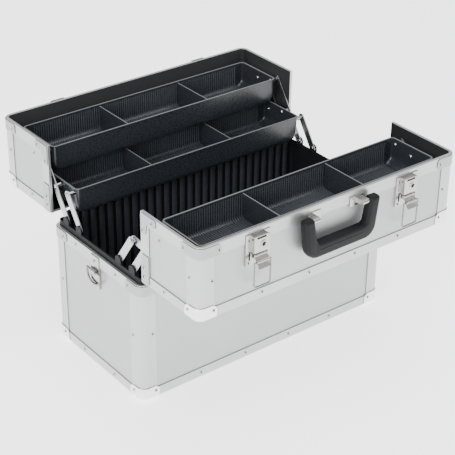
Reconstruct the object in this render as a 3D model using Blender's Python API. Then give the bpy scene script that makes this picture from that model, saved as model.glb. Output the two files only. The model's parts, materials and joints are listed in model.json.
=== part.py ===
"""Makeup train case: a boxy base, two lid halves hinged on its long top edges, three cantilever trays.

Metres, +Z up. The origin is the centre of the base's underside. The case stands open: each half has
turned 90 degrees outwards about its hinge. Front is -Y, and left and right are -X and +X.
"""

from math import atan2, cos, pi, sin

import bmesh
import bpy
from mathutils import Matrix, Vector

# Driving sizes of the box
CASE_LENGTH = 0.460
BASE_DEPTH = 0.224
BASE_HEIGHT = 0.1944
HALF_DEPTH = 0.128
SEAM_GAP = 0.002
RIM_GAP = 0.0026
HINGE_REACH = 0.008
HINGE_RISE = 0.0025

# Panels and the aluminium profiles over their edges
PROFILE_WALL = 0.0012
RIM_WEB = 0.0015
PANEL_THICKNESS = 0.003
SEAT_GAP = 0.0003
CORNER_RADIUS = 0.012
EDGE_RADIUS = 0.002
EDGE_FLANGE = 0.016
RIM_FLANGE = 0.018
POST_FLANGE = 0.026

# Black liner of the base, with a lip above the rim and ears for the arms
LINER_WALL = 0.002
LINER_CLEARANCE = 0.0006
LINER_RADIUS = 0.006
LIP_HEIGHT = 0.0086
EAR_RADIUS = 0.007
FOOT_RADIUS = 0.007
FOOT_HEIGHT = 0.004
FOOT_INSET = 0.027
FOOT_MARGIN = 0.004

# Cantilever arms: where they pivot and how far they reach when open
ARM_WIDTH = 0.012
ARM_THICKNESS = 0.0016
ARM_GAP = 0.0005
PIVOT_RISE = 0.005
LONG_ARM_INSET = 0.0225
ARM_SPACING = 0.034
STEP_OUT = 0.0305
STEP_UP = 0.0445
UPPER_LINK_OUT = 0.033
UPPER_LINK_DROP = 0.0065
PIN_RADIUS = 0.0019
PIN_CLEARANCE = 0.0003
PIN_HEAD_RADIUS = 0.0036
PIN_HEAD = 0.0012
COLLAR_RADIUS = 0.0034
COUPLER_THICKNESS = 0.0016
COUPLER_GAP = 0.0032

# Trays
TRAY_END_GAP = 0.0064
TRAY_FACE_GAP = 0.017
TRAY_HEIGHT = 0.0425
TRAY_WALL = 0.0016
TRAY_RIM = 0.0015
TRAY_RADIUS = 0.009
FRONT_RIM_RISE = 0.009
FRONT_RIM_OVERHANG = 0.010
MIDDLE_RIM_RISE = 0.0065
MIDDLE_RIM_OVERHANG = 0.0075
DIVIDER_THICKNESS = 0.0016
DIVIDER_X = 0.075
DIVIDER_DROP = 0.002

# Long hinges
HINGE_END = 0.030
HINGE_SEGMENTS = 9
HINGE_SEGMENT_GAP = 0.0006
HINGE_LEAF = 0.0012
HINGE_LEAF_HEIGHT = 0.018
HINGE_PIN_RADIUS = 0.0015
HINGE_PIN_CLEARANCE = 0.0003
KNUCKLE_RADIUS = 0.0035

# Carrying handle and its brackets
HANDLE_SPAN = 0.136
HANDLE_FOOT = 0.120
HANDLE_DROP = 0.0555
HANDLE_RISE = 0.0065
HANDLE_THICKNESS = 0.0150
HANDLE_ARM = 0.0175
HANDLE_GRIP = 0.0230
HANDLE_AXIS_DROP = 0.0150
HANDLE_AXIS_OUT = 0.0110
BRACKET_LENGTH = 0.024
BRACKET_HEIGHT = 0.015
BRACKET_GAP = 0.0006
BRACKET_PIN_RADIUS = 0.0025

# Latches and catches
LATCH_X = 0.134
LATCH_WIDTH = 0.041
LATCH_HEIGHT = 0.046
LATCH_TOP_DROP = 0.0055
FITTING_PLATE = 0.0012
LOCK_WIDTH = 0.024
LOCK_HEIGHT = 0.024
LOCK_DEPTH = 0.007
LOCK_TOP_DROP = 0.002
LEVER_WIDTH = 0.020
LEVER_LENGTH = 0.019
LEVER_THICKNESS = 0.0014
LEVER_AXIS_OUT = 0.0055
LEVER_AXIS_DROP = 0.0050
LEVER_BARREL = 0.0025
LEVER_SLOPE = 0.65
LUG_THICKNESS = 0.0012
BAIL_PIVOT_REACH = 0.0092
BAIL_WIDTH = 0.0270
BAIL_LENGTH = 0.0375
BAIL_WIRE = 0.0011
BAIL_TUBE = 0.0024
CATCH_WIDTH = 0.024
CATCH_HEIGHT = 0.020
CATCH_HOOK = 0.0045
CATCH_THICKNESS = 0.0016

# Shoulder strap rings on the ends
RING_PLATE_WIDTH = 0.020
RING_PLATE_HEIGHT = 0.052
RING_PLATE_DROP = 0.0024
RING_AXIS_DROP = 0.0264
RING_AXIS_OUT = 0.0035
RING_WIDTH = 0.033
RING_LENGTH = 0.021
RING_WIRE = 0.0016
SADDLE_WIDTH = 0.012
SADDLE_RADIUS = 0.0034

ROUND_STEPS = 16
SMALL_STEPS = 12
OVERCUT = 0.004

LEFT_RIGHT = ((-1, "left"), (1, "right"))
X_AXIS = Vector((1, 0, 0))
Y_AXIS = Vector((0, 1, 0))
Z_AXIS = Vector((0, 0, 1))

# Where the layers of wall, liner and arms lie
HALF_LENGTH = CASE_LENGTH / 2
HALF_BASE_DEPTH = BASE_DEPTH / 2
PANEL_OUT = PROFILE_WALL + SEAT_GAP
PANEL_IN = PANEL_OUT + PANEL_THICKNESS
END_INNER_X = HALF_LENGTH - PANEL_IN
SIDE_INNER_Y = HALF_BASE_DEPTH - PANEL_IN
LINER_OUTER_X = END_INNER_X - LINER_CLEARANCE
LINER_OUTER_Y = SIDE_INNER_Y - LINER_CLEARANCE
LINER_INNER_X = LINER_OUTER_X - LINER_WALL
LIP_Z = BASE_HEIGHT + LIP_HEIGHT
ARM_OUTER_X = LINER_INNER_X - ARM_GAP
ARM_INNER_X = ARM_OUTER_X - ARM_THICKNESS
COUPLER_OUTER_X = ARM_INNER_X - COUPLER_GAP

# The open halves, in terms of the hinge axis
HINGE_Y = HALF_BASE_DEPTH + HINGE_REACH
HINGE_Z = BASE_HEIGHT + RIM_GAP + HINGE_RISE
HALF_RIM_Y = HINGE_Y - HINGE_RISE
HALF_FACE_Y = HALF_RIM_Y + HALF_DEPTH
HALF_BOTTOM_Z = HINGE_Z + HINGE_REACH
HALF_TOP_Z = HINGE_Z + HINGE_Y - SEAM_GAP / 2
HINGE_LENGTH = CASE_LENGTH - 2 * HINGE_END

# The arms' feet stand inside the base's long sides, and the trays hang from the arms
LONG_ARM_Y = SIDE_INNER_Y - LONG_ARM_INSET
SHORT_ARM_Y = LONG_ARM_Y - ARM_SPACING
ARM_PIVOT_Z = LIP_Z + PIVOT_RISE
FRONT_TRAY_Y = LONG_ARM_Y + 2 * STEP_OUT - FRONT_RIM_OVERHANG
FRONT_TRAY_RIM_Z = ARM_PIVOT_Z + 2 * STEP_UP + FRONT_RIM_RISE
MIDDLE_TRAY_Y = SHORT_ARM_Y + STEP_OUT - MIDDLE_RIM_OVERHANG
MIDDLE_TRAY_RIM_Z = ARM_PIVOT_Z + STEP_UP + MIDDLE_RIM_RISE
TRAY_LENGTH = 2 * (COUPLER_OUTER_X - TRAY_END_GAP)
TRAY_DEPTH = HALF_FACE_Y - PANEL_IN - TRAY_FACE_GAP - FRONT_TRAY_Y

model = bpy.data.collections.new("makeup_train_case")
cutters = bpy.data.collections.new("cutters")


def start_empty_scene():
    for thing in list(bpy.data.objects):
        bpy.data.objects.remove(thing, do_unlink=True)
    for collection in (model, cutters):
        bpy.context.scene.collection.children.link(collection)


def material(name, colour, roughness, metallic):
    made = bpy.data.materials.new(name)
    made.use_nodes = True
    shader = made.node_tree.nodes["Principled BSDF"]
    shader.inputs["Base Color"].default_value = (*colour, 1.0)
    shader.inputs["Roughness"].default_value = roughness
    shader.inputs["Metallic"].default_value = metallic
    made.diffuse_color = (*colour, 1.0)
    return made


ALUMINIUM_SHEET = material("aluminium_sheet", (0.60, 0.61, 0.62), 0.42, 0.85)
ALUMINIUM_PROFILE = material("aluminium_profile", (0.78, 0.79, 0.80), 0.30, 0.95)
NICKEL = material("nickel_plate", (0.72, 0.71, 0.68), 0.22, 1.0)
ARM_STEEL = material("arm_steel", (0.45, 0.45, 0.46), 0.35, 1.0)
BLACK_LINER = material("black_liner", (0.012, 0.013, 0.014), 0.55, 0.0)
TRAY_PLASTIC = material("tray_plastic", (0.030, 0.033, 0.036), 0.25, 0.0)
HANDLE_PLASTIC = material("handle_plastic", (0.020, 0.020, 0.022), 0.45, 0.0)
UNDERSIDE_BOARD = material("underside_board", (0.10, 0.10, 0.10), 0.60, 0.0)


# --- building blocks -------------------------------------------------------------------------------

def mesh_from(bm, name):
    """A mesh whose faces point outwards."""
    mesh = bpy.data.meshes.new(name)
    bmesh.ops.recalc_face_normals(bm, faces=bm.faces)
    if bm.calc_volume(signed=True) < 0:
        bmesh.ops.reverse_faces(bm, faces=bm.faces)
    bm.to_mesh(mesh)
    bm.free()
    return mesh


def box_mesh(low, high, name="box"):
    """A box between two corners, in any order."""
    a, b = Vector(low), Vector(high)
    bm = bmesh.new()
    size = Matrix.Diagonal((*[abs(v) for v in b - a], 1.0))
    bmesh.ops.create_cube(bm, size=1.0, matrix=Matrix.Translation((a + b) / 2) @ size)
    return mesh_from(bm, name)


def rounded_box_mesh(low, high, upright_radius, foot_radius=0.0, keep=None, name="rounded_box"):
    """A box whose upright edges, and then whose lowest edges, are rounded.

    keep(edge) says whether an upright edge is rounded.
    """
    a, b = Vector(low), Vector(high)
    bm = bmesh.new()
    size = Matrix.Diagonal((*[abs(v) for v in b - a], 1.0))
    bmesh.ops.create_cube(bm, size=1.0, matrix=Matrix.Translation((a + b) / 2) @ size)
    uprights = [e for e in bm.edges if abs((e.verts[0].co - e.verts[1].co).z) > 1e-6]
    if keep:
        uprights = [e for e in uprights if keep(e)]
    bmesh.ops.bevel(bm, geom=uprights, offset=upright_radius, segments=4, profile=0.5, affect='EDGES')
    if foot_radius:
        floor_z = min(v.co.z for v in bm.verts)
        lowest = [e for e in bm.edges if all(abs(v.co.z - floor_z) < 1e-6 for v in e.verts)]
        bmesh.ops.bevel(bm, geom=lowest, offset=foot_radius, segments=3, profile=0.5, affect='EDGES')
    return mesh_from(bm, name)


def rod_mesh(centre, axis, length, radius, steps=ROUND_STEPS, name="rod"):
    """A cylinder about its centre, along an axis."""
    bm = bmesh.new()
    turn = Z_AXIS.rotation_difference(Vector(axis)).to_matrix().to_4x4()
    bmesh.ops.create_cone(bm, cap_ends=True, segments=steps, radius1=radius, radius2=radius, depth=length,
                          matrix=Matrix.Translation(centre) @ turn)
    return mesh_from(bm, name)


def circle_points(centre, radius, steps=ROUND_STEPS, start=0.0, sweep=2 * pi):
    """Points round a circle or, for a smaller sweep, along an arc with both its ends."""
    count = steps if sweep >= 2 * pi else steps + 1
    return [(centre[0] + radius * cos(start + sweep * i / steps),
             centre[1] + radius * sin(start + sweep * i / steps)) for i in range(count)]


def plate_mesh(outlines, thickness, origin, across, up, name="plate"):
    """A flat plate from closed outlines, the later ones being holes, as thick along across x up."""
    curve = bpy.data.curves.new(name, 'CURVE')
    curve.dimensions = '2D'
    curve.fill_mode = 'BOTH'
    curve.extrude = thickness / 2
    for points in outlines:
        spline = curve.splines.new('POLY')
        spline.points.add(len(points) - 1)
        for point, (u, v) in zip(spline.points, points):
            point.co = (u, v, 0.0, 1.0)
        spline.use_cyclic_u = True
    holder = bpy.data.objects.new(name, curve)
    bpy.context.scene.collection.objects.link(holder)
    mesh = bpy.data.meshes.new_from_object(holder.evaluated_get(bpy.context.evaluated_depsgraph_get()))
    bpy.data.objects.remove(holder)
    bm = bmesh.new()
    bm.from_mesh(mesh)
    bmesh.ops.remove_doubles(bm, verts=bm.verts, dist=1e-6)
    through = Vector(across).cross(Vector(up))
    frame = Matrix((across, up, through)).transposed().to_4x4()
    bm.transform(Matrix.Translation(Vector(origin) + through * thickness / 2) @ frame)
    return mesh_from(bm, name)


def wire_mesh(points, radius, name="wire"):
    """A closed loop of round wire."""
    curve = bpy.data.curves.new(name, 'CURVE')
    curve.dimensions = '3D'
    curve.bevel_depth = radius
    curve.bevel_resolution = 2
    spline = curve.splines.new('POLY')
    spline.points.add(len(points) - 1)
    for point, place in zip(spline.points, points):
        point.co = (*place, 1.0)
    spline.use_cyclic_u = True
    holder = bpy.data.objects.new(name, curve)
    bpy.context.scene.collection.objects.link(holder)
    mesh = bpy.data.meshes.new_from_object(holder.evaluated_get(bpy.context.evaluated_depsgraph_get()))
    bpy.data.objects.remove(holder)
    bm = bmesh.new()
    bm.from_mesh(mesh)
    bmesh.ops.remove_doubles(bm, verts=bm.verts, dist=1e-6)
    return mesh_from(bm, name)


def piece(name, mesh, finish, origin=(0, 0, 0), parent=None, add=(), cut=(), add_last=()):
    """One named sub-part: a mesh given in world places, with shapes joined to it and then cut from it.

    add_last is joined after the cuts.
    """
    thing = bpy.data.objects.new(name, mesh)
    model.objects.link(thing)
    mesh.name = name
    mesh.transform(Matrix.Translation(-Vector(origin)))
    mesh.materials.clear()
    mesh.materials.append(finish)
    thing.location = Vector(origin) - (parent.location if parent else Vector())
    thing.parent = parent
    tools = [("UNION", tool) for tool in add] + [("DIFFERENCE", tool) for tool in cut]
    tools += [("UNION", tool) for tool in add_last]
    for number, (operation, tool) in enumerate(tools):
        helper = bpy.data.objects.new(f"{name}_tool_{number}", tool)
        cutters.objects.link(helper)
        helper.hide_render = True
        helper.display_type = 'WIRE'
        step = thing.modifiers.new(f"{operation.lower()}_{number}", 'BOOLEAN')
        step.operation = operation
        step.object = helper
    return thing


def joint(name, place):
    """An empty on a hinge axis."""
    empty = bpy.data.objects.new(name, None)
    model.objects.link(empty)
    empty.empty_display_size = 0.02
    empty.location = place
    return empty


def pivot_pin(x_wall, side, y, z):
    """A shouldered pin that stands outwards from a wall through an arm, with its head beyond the arm."""
    start = x_wall - OVERCUT / 4
    stop = ARM_INNER_X - PIN_CLEARANCE
    head_start = ARM_OUTER_X + PIN_CLEARANCE
    end = head_start + PIN_HEAD
    pin = rod_mesh((side * (start + end) / 2, y, z), X_AXIS, end - start, PIN_RADIUS, SMALL_STEPS)
    head = rod_mesh((side * (head_start + end) / 2, y, z), X_AXIS, PIN_HEAD, PIN_HEAD_RADIUS, SMALL_STEPS)
    collar = rod_mesh((side * (start + stop) / 2, y, z), X_AXIS, stop - start, COLLAR_RADIUS, SMALL_STEPS)
    return [pin, head, collar]


# --- base ------------------------------------------------------------------------------------------

def base_panels():
    panel_low = PANEL_OUT
    panel_high = BASE_HEIGHT - RIM_WEB - SEAT_GAP
    flat_x = HALF_LENGTH - CORNER_RADIUS - OVERCUT / 2
    flat_y = HALF_BASE_DEPTH - CORNER_RADIUS - OVERCUT / 2
    for side, name in ((-1, "base_front_panel"), (1, "base_rear_panel")):
        piece(name, box_mesh((-flat_x, side * SIDE_INNER_Y, panel_low),
                             (flat_x, side * (HALF_BASE_DEPTH - PANEL_OUT), panel_high)), ALUMINIUM_SHEET)
    for side, name in LEFT_RIGHT:
        piece(f"base_{name}_panel", box_mesh((side * END_INNER_X, -flat_y, panel_low),
                                             (side * (HALF_LENGTH - PANEL_OUT), flat_y, panel_high)),
              ALUMINIUM_SHEET)


def base_floor():
    """A board whose middle lies flush with the frame's underside, with four feet outside it."""
    margin = FOOT_INSET + FOOT_RADIUS + FOOT_MARGIN
    pad_x = HALF_LENGTH - margin
    pad_y = HALF_BASE_DEPTH - margin
    top = PANEL_OUT + PANEL_THICKNESS / 2
    pad = box_mesh((-pad_x, -pad_y, 0), (pad_x, pad_y, top))
    x = END_INNER_X - SEAT_GAP
    y = SIDE_INNER_Y - SEAT_GAP
    feet = []
    for foot_x in (-HALF_LENGTH + FOOT_INSET, HALF_LENGTH - FOOT_INSET):
        for foot_y in (-HALF_BASE_DEPTH + FOOT_INSET, HALF_BASE_DEPTH - FOOT_INSET):
            feet.append(rod_mesh((foot_x, foot_y, (top - FOOT_HEIGHT) / 2), Z_AXIS,
                                 top + FOOT_HEIGHT, FOOT_RADIUS))
    board = box_mesh((-x, -y, PANEL_OUT), (x, y, PANEL_IN))
    piece("base_floor_panel", board, UNDERSIDE_BOARD, add=[pad, *feet])


def base_frame():
    """Folded aluminium profiles over all the edges of the base, with a web over the panels' top edges."""
    outer = rounded_box_mesh((-HALF_LENGTH, -HALF_BASE_DEPTH, 0), (HALF_LENGTH, HALF_BASE_DEPTH, BASE_HEIGHT),
                             CORNER_RADIUS, EDGE_RADIUS)
    x = HALF_LENGTH - PROFILE_WALL
    y = HALF_BASE_DEPTH - PROFILE_WALL
    inner_radius = CORNER_RADIUS - PROFILE_WALL
    room = rounded_box_mesh((-x, -y, PROFILE_WALL), (x, y, BASE_HEIGHT - RIM_WEB), inner_radius)
    mouth = rounded_box_mesh((-END_INNER_X, -SIDE_INNER_Y, PROFILE_WALL + OVERCUT),
                             (END_INNER_X, SIDE_INNER_Y, BASE_HEIGHT + OVERCUT), CORNER_RADIUS - PANEL_IN)
    window_low = EDGE_FLANGE
    window_high = BASE_HEIGHT - RIM_FLANGE
    window_x = HALF_LENGTH - POST_FLANGE
    window_y = HALF_BASE_DEPTH - POST_FLANGE
    cross_x = HALF_LENGTH + OVERCUT
    cross_y = HALF_BASE_DEPTH + OVERCUT
    floor_x = HALF_LENGTH - EDGE_FLANGE
    floor_y = HALF_BASE_DEPTH - EDGE_FLANGE
    windows = [box_mesh((-window_x, -cross_y, window_low), (window_x, cross_y, window_high)),
               box_mesh((-cross_x, -window_y, window_low), (cross_x, window_y, window_high)),
               box_mesh((-floor_x, -floor_y, -OVERCUT), (floor_x, floor_y, OVERCUT))]
    piece("base_frame", outer, ALUMINIUM_PROFILE, cut=[room, mouth, *windows])


def base_liner():
    """An open black box with a lip above the rim, and ears with pins for the four pairs of arms."""
    low = PANEL_IN + SEAT_GAP
    outer = rounded_box_mesh((-LINER_OUTER_X, -LINER_OUTER_Y, low), (LINER_OUTER_X, LINER_OUTER_Y, LIP_Z),
                             LINER_RADIUS)
    y = LINER_OUTER_Y - LINER_WALL
    inner = rounded_box_mesh((-LINER_INNER_X, -y, low + LINER_WALL), (LINER_INNER_X, y, LIP_Z + OVERCUT),
                             LINER_RADIUS - LINER_WALL)
    ears = []
    for side, _ in LEFT_RIGHT:
        for y in (-LONG_ARM_Y, -SHORT_ARM_Y, SHORT_ARM_Y, LONG_ARM_Y):
            foot = LIP_Z - EAR_RADIUS
            outline = circle_points((y, ARM_PIVOT_Z), EAR_RADIUS, SMALL_STEPS, 0.0, pi)
            outline += [(y - EAR_RADIUS, foot), (y + EAR_RADIUS, foot)]
            wall_x = LINER_INNER_X if side > 0 else -LINER_OUTER_X
            ears.append(plate_mesh([outline], LINER_WALL, (wall_x, 0, 0), Y_AXIS, Z_AXIS))
            root = LINER_INNER_X + LINER_WALL / 2
            head = ARM_INNER_X - PIN_CLEARANCE - PIN_HEAD
            ears.append(rod_mesh((side * (root + head) / 2, y, ARM_PIVOT_Z), X_AXIS, root - head, PIN_RADIUS,
                                 SMALL_STEPS))
            ears.append(rod_mesh((side * (head + PIN_HEAD / 2), y, ARM_PIVOT_Z), X_AXIS, PIN_HEAD,
                                 PIN_HEAD_RADIUS, SMALL_STEPS))
    piece("base_liner", outer, BLACK_LINER, cut=[inner], add_last=ears)


def strap_rings():
    """A riveted plate on each end, with a saddle that holds a D-ring."""
    for side, name in LEFT_RIGHT:
        face = HALF_LENGTH + SEAT_GAP
        top = BASE_HEIGHT - RING_PLATE_DROP
        bottom = top - RING_PLATE_HEIGHT
        half = RING_PLATE_WIDTH / 2
        axis_x = side * (face + FITTING_PLATE + RING_AXIS_OUT - RING_WIRE + SEAT_GAP)
        axis_z = BASE_HEIGHT - RING_AXIS_DROP
        plate = box_mesh((side * face, -half, bottom), (side * (face + FITTING_PLATE), half, top))
        pad = box_mesh((side * (HALF_LENGTH - PANEL_OUT + SEAT_GAP), -half, bottom),
                       (side * (face + FITTING_PLATE / 2), half, BASE_HEIGHT - RIM_FLANGE - SEAT_GAP))
        saddle = rod_mesh((axis_x, 0, axis_z), Y_AXIS, SADDLE_WIDTH, SADDLE_RADIUS)
        hole = rod_mesh((axis_x, 0, axis_z), Y_AXIS, SADDLE_WIDTH + OVERCUT, RING_WIRE + PIN_CLEARANCE)
        piece(f"{name}_ring_plate", plate, NICKEL, add=[pad, saddle], cut=[hole])

        bend = RING_LENGTH - RING_WIDTH / 4
        points = [(axis_x, -RING_WIDTH / 2, axis_z), (axis_x, RING_WIDTH / 2, axis_z)]
        lower = circle_points((0, 0), 1.0, ROUND_STEPS // 2, 0.0, -pi)
        points += [(axis_x, RING_WIDTH / 2 * u, axis_z - (RING_LENGTH - bend) + bend * v) for u, v in lower]
        piece(f"{name}_strap_ring", wire_mesh(points, RING_WIRE), NICKEL, origin=(axis_x, 0, axis_z))


# --- long hinges -----------------------------------------------------------------------------------

def hinge_leaf(name, front, on_half, parent=None):
    """A leaf of the long offset hinge: a flat strip on the case, webs and knuckles at every other segment.

    The strip of the base stands on the base's side, and the strip of a half lies under the open half.
    The base's leaf carries the pin.
    """
    axis = Vector((0, front * HINGE_Y, HINGE_Z))
    pitch = HINGE_LENGTH / HINGE_SEGMENTS
    if on_half:
        z = HALF_BOTTOM_Z - SEAT_GAP
        strip = ((front * (HINGE_Y + KNUCKLE_RADIUS), z - HINGE_LEAF),
                 (front * (HINGE_Y + KNUCKLE_RADIUS + HINGE_LEAF_HEIGHT), z))
        web_end = Vector((0, strip[0][0] + front * HINGE_LEAF, z - HINGE_LEAF / 2))
    else:
        y = HALF_BASE_DEPTH + SEAT_GAP
        top = HINGE_Z - 2 * KNUCKLE_RADIUS
        strip = ((front * y, top - HINGE_LEAF_HEIGHT), (front * (y + HINGE_LEAF), top))
        web_end = Vector((0, front * (y + HINGE_LEAF / 2), top - HINGE_LEAF))
    body = box_mesh((-HINGE_LENGTH / 2, *strip[0]), (HINGE_LENGTH / 2, *strip[1]))
    add = []
    for number in range(HINGE_SEGMENTS):
        if (number % 2 == 1) != on_half:
            continue
        x = -HINGE_LENGTH / 2 + pitch * (number + 0.5)
        width = pitch - HINGE_SEGMENT_GAP
        add.append(rod_mesh((x, axis.y, axis.z), X_AXIS, width, KNUCKLE_RADIUS, SMALL_STEPS))
        line = (web_end - axis).normalized()
        start = axis + line * (HINGE_PIN_RADIUS + HINGE_PIN_CLEARANCE + HINGE_LEAF / 2)
        normal = X_AXIS.cross(line) * HINGE_LEAF / 2
        corners = [start - normal, web_end - normal, web_end + normal, start + normal]
        add.append(plate_mesh([[(c.y, c.z) for c in corners]], width, (x - width / 2, 0, 0), Y_AXIS, Z_AXIS))
    if on_half:
        bore = HINGE_PIN_RADIUS + HINGE_PIN_CLEARANCE
        cut = [rod_mesh(axis, X_AXIS, HINGE_LENGTH + OVERCUT, bore, SMALL_STEPS)]
    else:
        cut = []
        add.append(rod_mesh(axis, X_AXIS, HINGE_LENGTH - pitch, HINGE_PIN_RADIUS, SMALL_STEPS))
    piece(name, body, NICKEL, origin=axis, parent=parent, add=add, cut=cut)


# --- halves ----------------------------------------------------------------------------------------

def half_box(front, x, y_in, y_out, z_low, z_high):
    """Corners of a box in an open half, from distances outwards from the middle of the case."""
    return (-x, front * y_in, z_low), (x, front * y_out, z_high)


def half_frame(name, front, parent):
    """Profiles round an open half, whose rim runs along the ends, the face and the hinge side."""
    origin = (0, front * HINGE_Y, HINGE_Z)
    low, high = half_box(front, HALF_LENGTH, HALF_RIM_Y, HALF_FACE_Y, HALF_BOTTOM_Z, HALF_TOP_Z)
    face_y = front * (HALF_RIM_Y + HALF_DEPTH / 2)

    def outer_edge(edge):
        return all(v.co.y * front > face_y * front for v in edge.verts)

    outer = rounded_box_mesh(low, high, CORNER_RADIUS, EDGE_RADIUS, outer_edge)
    room = rounded_box_mesh(*half_box(front, HALF_LENGTH - PROFILE_WALL, HALF_RIM_Y + RIM_WEB,
                                      HALF_FACE_Y - PROFILE_WALL, HALF_BOTTOM_Z + PROFILE_WALL,
                                      HALF_TOP_Z - RIM_WEB), CORNER_RADIUS - PROFILE_WALL, 0.0, outer_edge)
    mouth = rounded_box_mesh(*half_box(front, END_INNER_X, HALF_RIM_Y - OVERCUT, HALF_FACE_Y - PANEL_IN,
                                       HALF_BOTTOM_Z + PANEL_IN, HALF_TOP_Z + OVERCUT),
                             CORNER_RADIUS - PANEL_IN, 0.0, outer_edge)
    window_low = HALF_BOTTOM_Z + EDGE_FLANGE
    window_high = HALF_TOP_Z - RIM_FLANGE
    face_window = half_box(front, HALF_LENGTH - POST_FLANGE, HALF_FACE_Y - HALF_DEPTH / 2,
                           HALF_FACE_Y + OVERCUT, window_low, window_high)
    end_window = half_box(front, HALF_LENGTH + OVERCUT, HALF_RIM_Y + RIM_FLANGE, HALF_FACE_Y - POST_FLANGE,
                          window_low, window_high)
    hinge_window = half_box(front, HALF_LENGTH - EDGE_FLANGE, HALF_RIM_Y + RIM_FLANGE,
                            HALF_FACE_Y - EDGE_FLANGE, HALF_BOTTOM_Z - OVERCUT, HALF_BOTTOM_Z + OVERCUT)
    windows = [box_mesh(*window) for window in (face_window, end_window, hinge_window)]
    piece(f"{name}_frame", outer, ALUMINIUM_PROFILE, origin, parent, cut=[room, mouth, *windows])


def half_panels(name, front, parent):
    origin = (0, front * HINGE_Y, HINGE_Z)
    low = HALF_BOTTOM_Z + PANEL_OUT
    high = HALF_TOP_Z - RIM_WEB - SEAT_GAP
    rim = HALF_RIM_Y + RIM_WEB + SEAT_GAP
    flat = CORNER_RADIUS + OVERCUT / 2
    face = half_box(front, HALF_LENGTH - flat, HALF_FACE_Y - PANEL_IN, HALF_FACE_Y - PANEL_OUT, low, high)
    piece(f"{name}_face_panel", box_mesh(*face), ALUMINIUM_SHEET, origin, parent)
    hinge_side = half_box(front, END_INNER_X - SEAT_GAP, rim, HALF_FACE_Y - PANEL_IN - SEAT_GAP,
                          low, low + PANEL_THICKNESS)
    piece(f"{name}_hinge_side_panel", box_mesh(*hinge_side), ALUMINIUM_SHEET, origin, parent)
    for side, end in LEFT_RIGHT:
        piece(f"{name}_{end}_panel", box_mesh((side * END_INNER_X, front * rim, low),
                                              (side * (HALF_LENGTH - PANEL_OUT), front * (HALF_FACE_Y - flat),
                                               high)), ALUMINIUM_SHEET, origin, parent)


def catches(parent):
    """Hooked plates on the rear half, where the latches' bails hold."""
    face = HALF_FACE_Y + SEAT_GAP
    top = HALF_TOP_Z + SEAM_GAP / 2
    for side, name in LEFT_RIGHT:
        x = side * LATCH_X
        half = CATCH_WIDTH / 2
        plate = box_mesh((x - half, face, top - CATCH_HEIGHT), (x + half, face + CATCH_THICKNESS, top))
        hook_z = top - CATCH_HEIGHT / 2
        hook = box_mesh((x - half, face + CATCH_THICKNESS / 2, hook_z - CATCH_THICKNESS),
                        (x + half, face + CATCH_HOOK, hook_z))
        lip = box_mesh((x - half, face + CATCH_HOOK - CATCH_THICKNESS, hook_z - CATCH_THICKNESS - CATCH_HOOK),
                       (x + half, face + CATCH_HOOK, hook_z - CATCH_THICKNESS / 2))
        piece(f"{name}_catch", plate, NICKEL, parent.location, parent, add=[hook, lip])


# --- trays and arms --------------------------------------------------------------------------------

def tray(name, front, y_near, rim_z, pins, origin, parent):
    """A moulded tray with a narrow rim, rounded lower edges and pivot pins on both ends.

    y_near is the distance of its inner rim from the middle of the case.
    """
    x = TRAY_LENGTH / 2 - TRAY_RIM
    near = y_near + TRAY_RIM
    far = y_near + TRAY_DEPTH - TRAY_RIM
    floor = rim_z - TRAY_HEIGHT
    corner = TRAY_RADIUS / 2
    outer = rounded_box_mesh((-x, front * near, floor), (x, front * far, rim_z), corner, TRAY_RADIUS * 0.9)
    rim = rounded_box_mesh((-x - TRAY_RIM, front * y_near, rim_z - TRAY_RIM),
                           (x + TRAY_RIM, front * (y_near + TRAY_DEPTH), rim_z), corner + TRAY_RIM)
    room = rounded_box_mesh((-x + TRAY_WALL, front * (near + TRAY_WALL), floor + TRAY_WALL),
                            (x - TRAY_WALL, front * (far - TRAY_WALL), rim_z + OVERCUT),
                            corner - TRAY_WALL, TRAY_RADIUS * 0.9 - TRAY_WALL)
    add = [rim]
    for side, _ in LEFT_RIGHT:
        for pin_y, pin_z in pins:
            add += pivot_pin(x, side, front * pin_y, pin_z)
    piece(name, outer, TRAY_PLASTIC, origin, parent, add=add, cut=[room])
    for side, end in LEFT_RIGHT:
        divider_x = side * DIVIDER_X
        inner_near = near + TRAY_WALL + SEAT_GAP
        inner_far = far - TRAY_WALL - SEAT_GAP
        radius = TRAY_RADIUS * 0.9 - TRAY_WALL
        low = floor + TRAY_WALL + SEAT_GAP
        sheet = rounded_divider(divider_x, front, inner_near, inner_far, low, rim_z - DIVIDER_DROP, radius)
        piece(f"{name}_{end}_divider", sheet, TRAY_PLASTIC, origin, parent)


def rounded_divider(x, front, near, far, low, high, radius):
    """A cross plate that follows the tray's rounded floor edges."""
    outline = [(near, high)]
    outline += circle_points((near + radius, low + radius), radius, 3, pi, pi / 2)
    outline += circle_points((far - radius, low + radius), radius, 3, 1.5 * pi, pi / 2)
    outline += [(far, high)]
    outline = [(front * y, z) for y, z in outline]
    return plate_mesh([outline], DIVIDER_THICKNESS, (x - DIVIDER_THICKNESS / 2, 0, 0), Y_AXIS, Z_AXIS)


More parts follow.
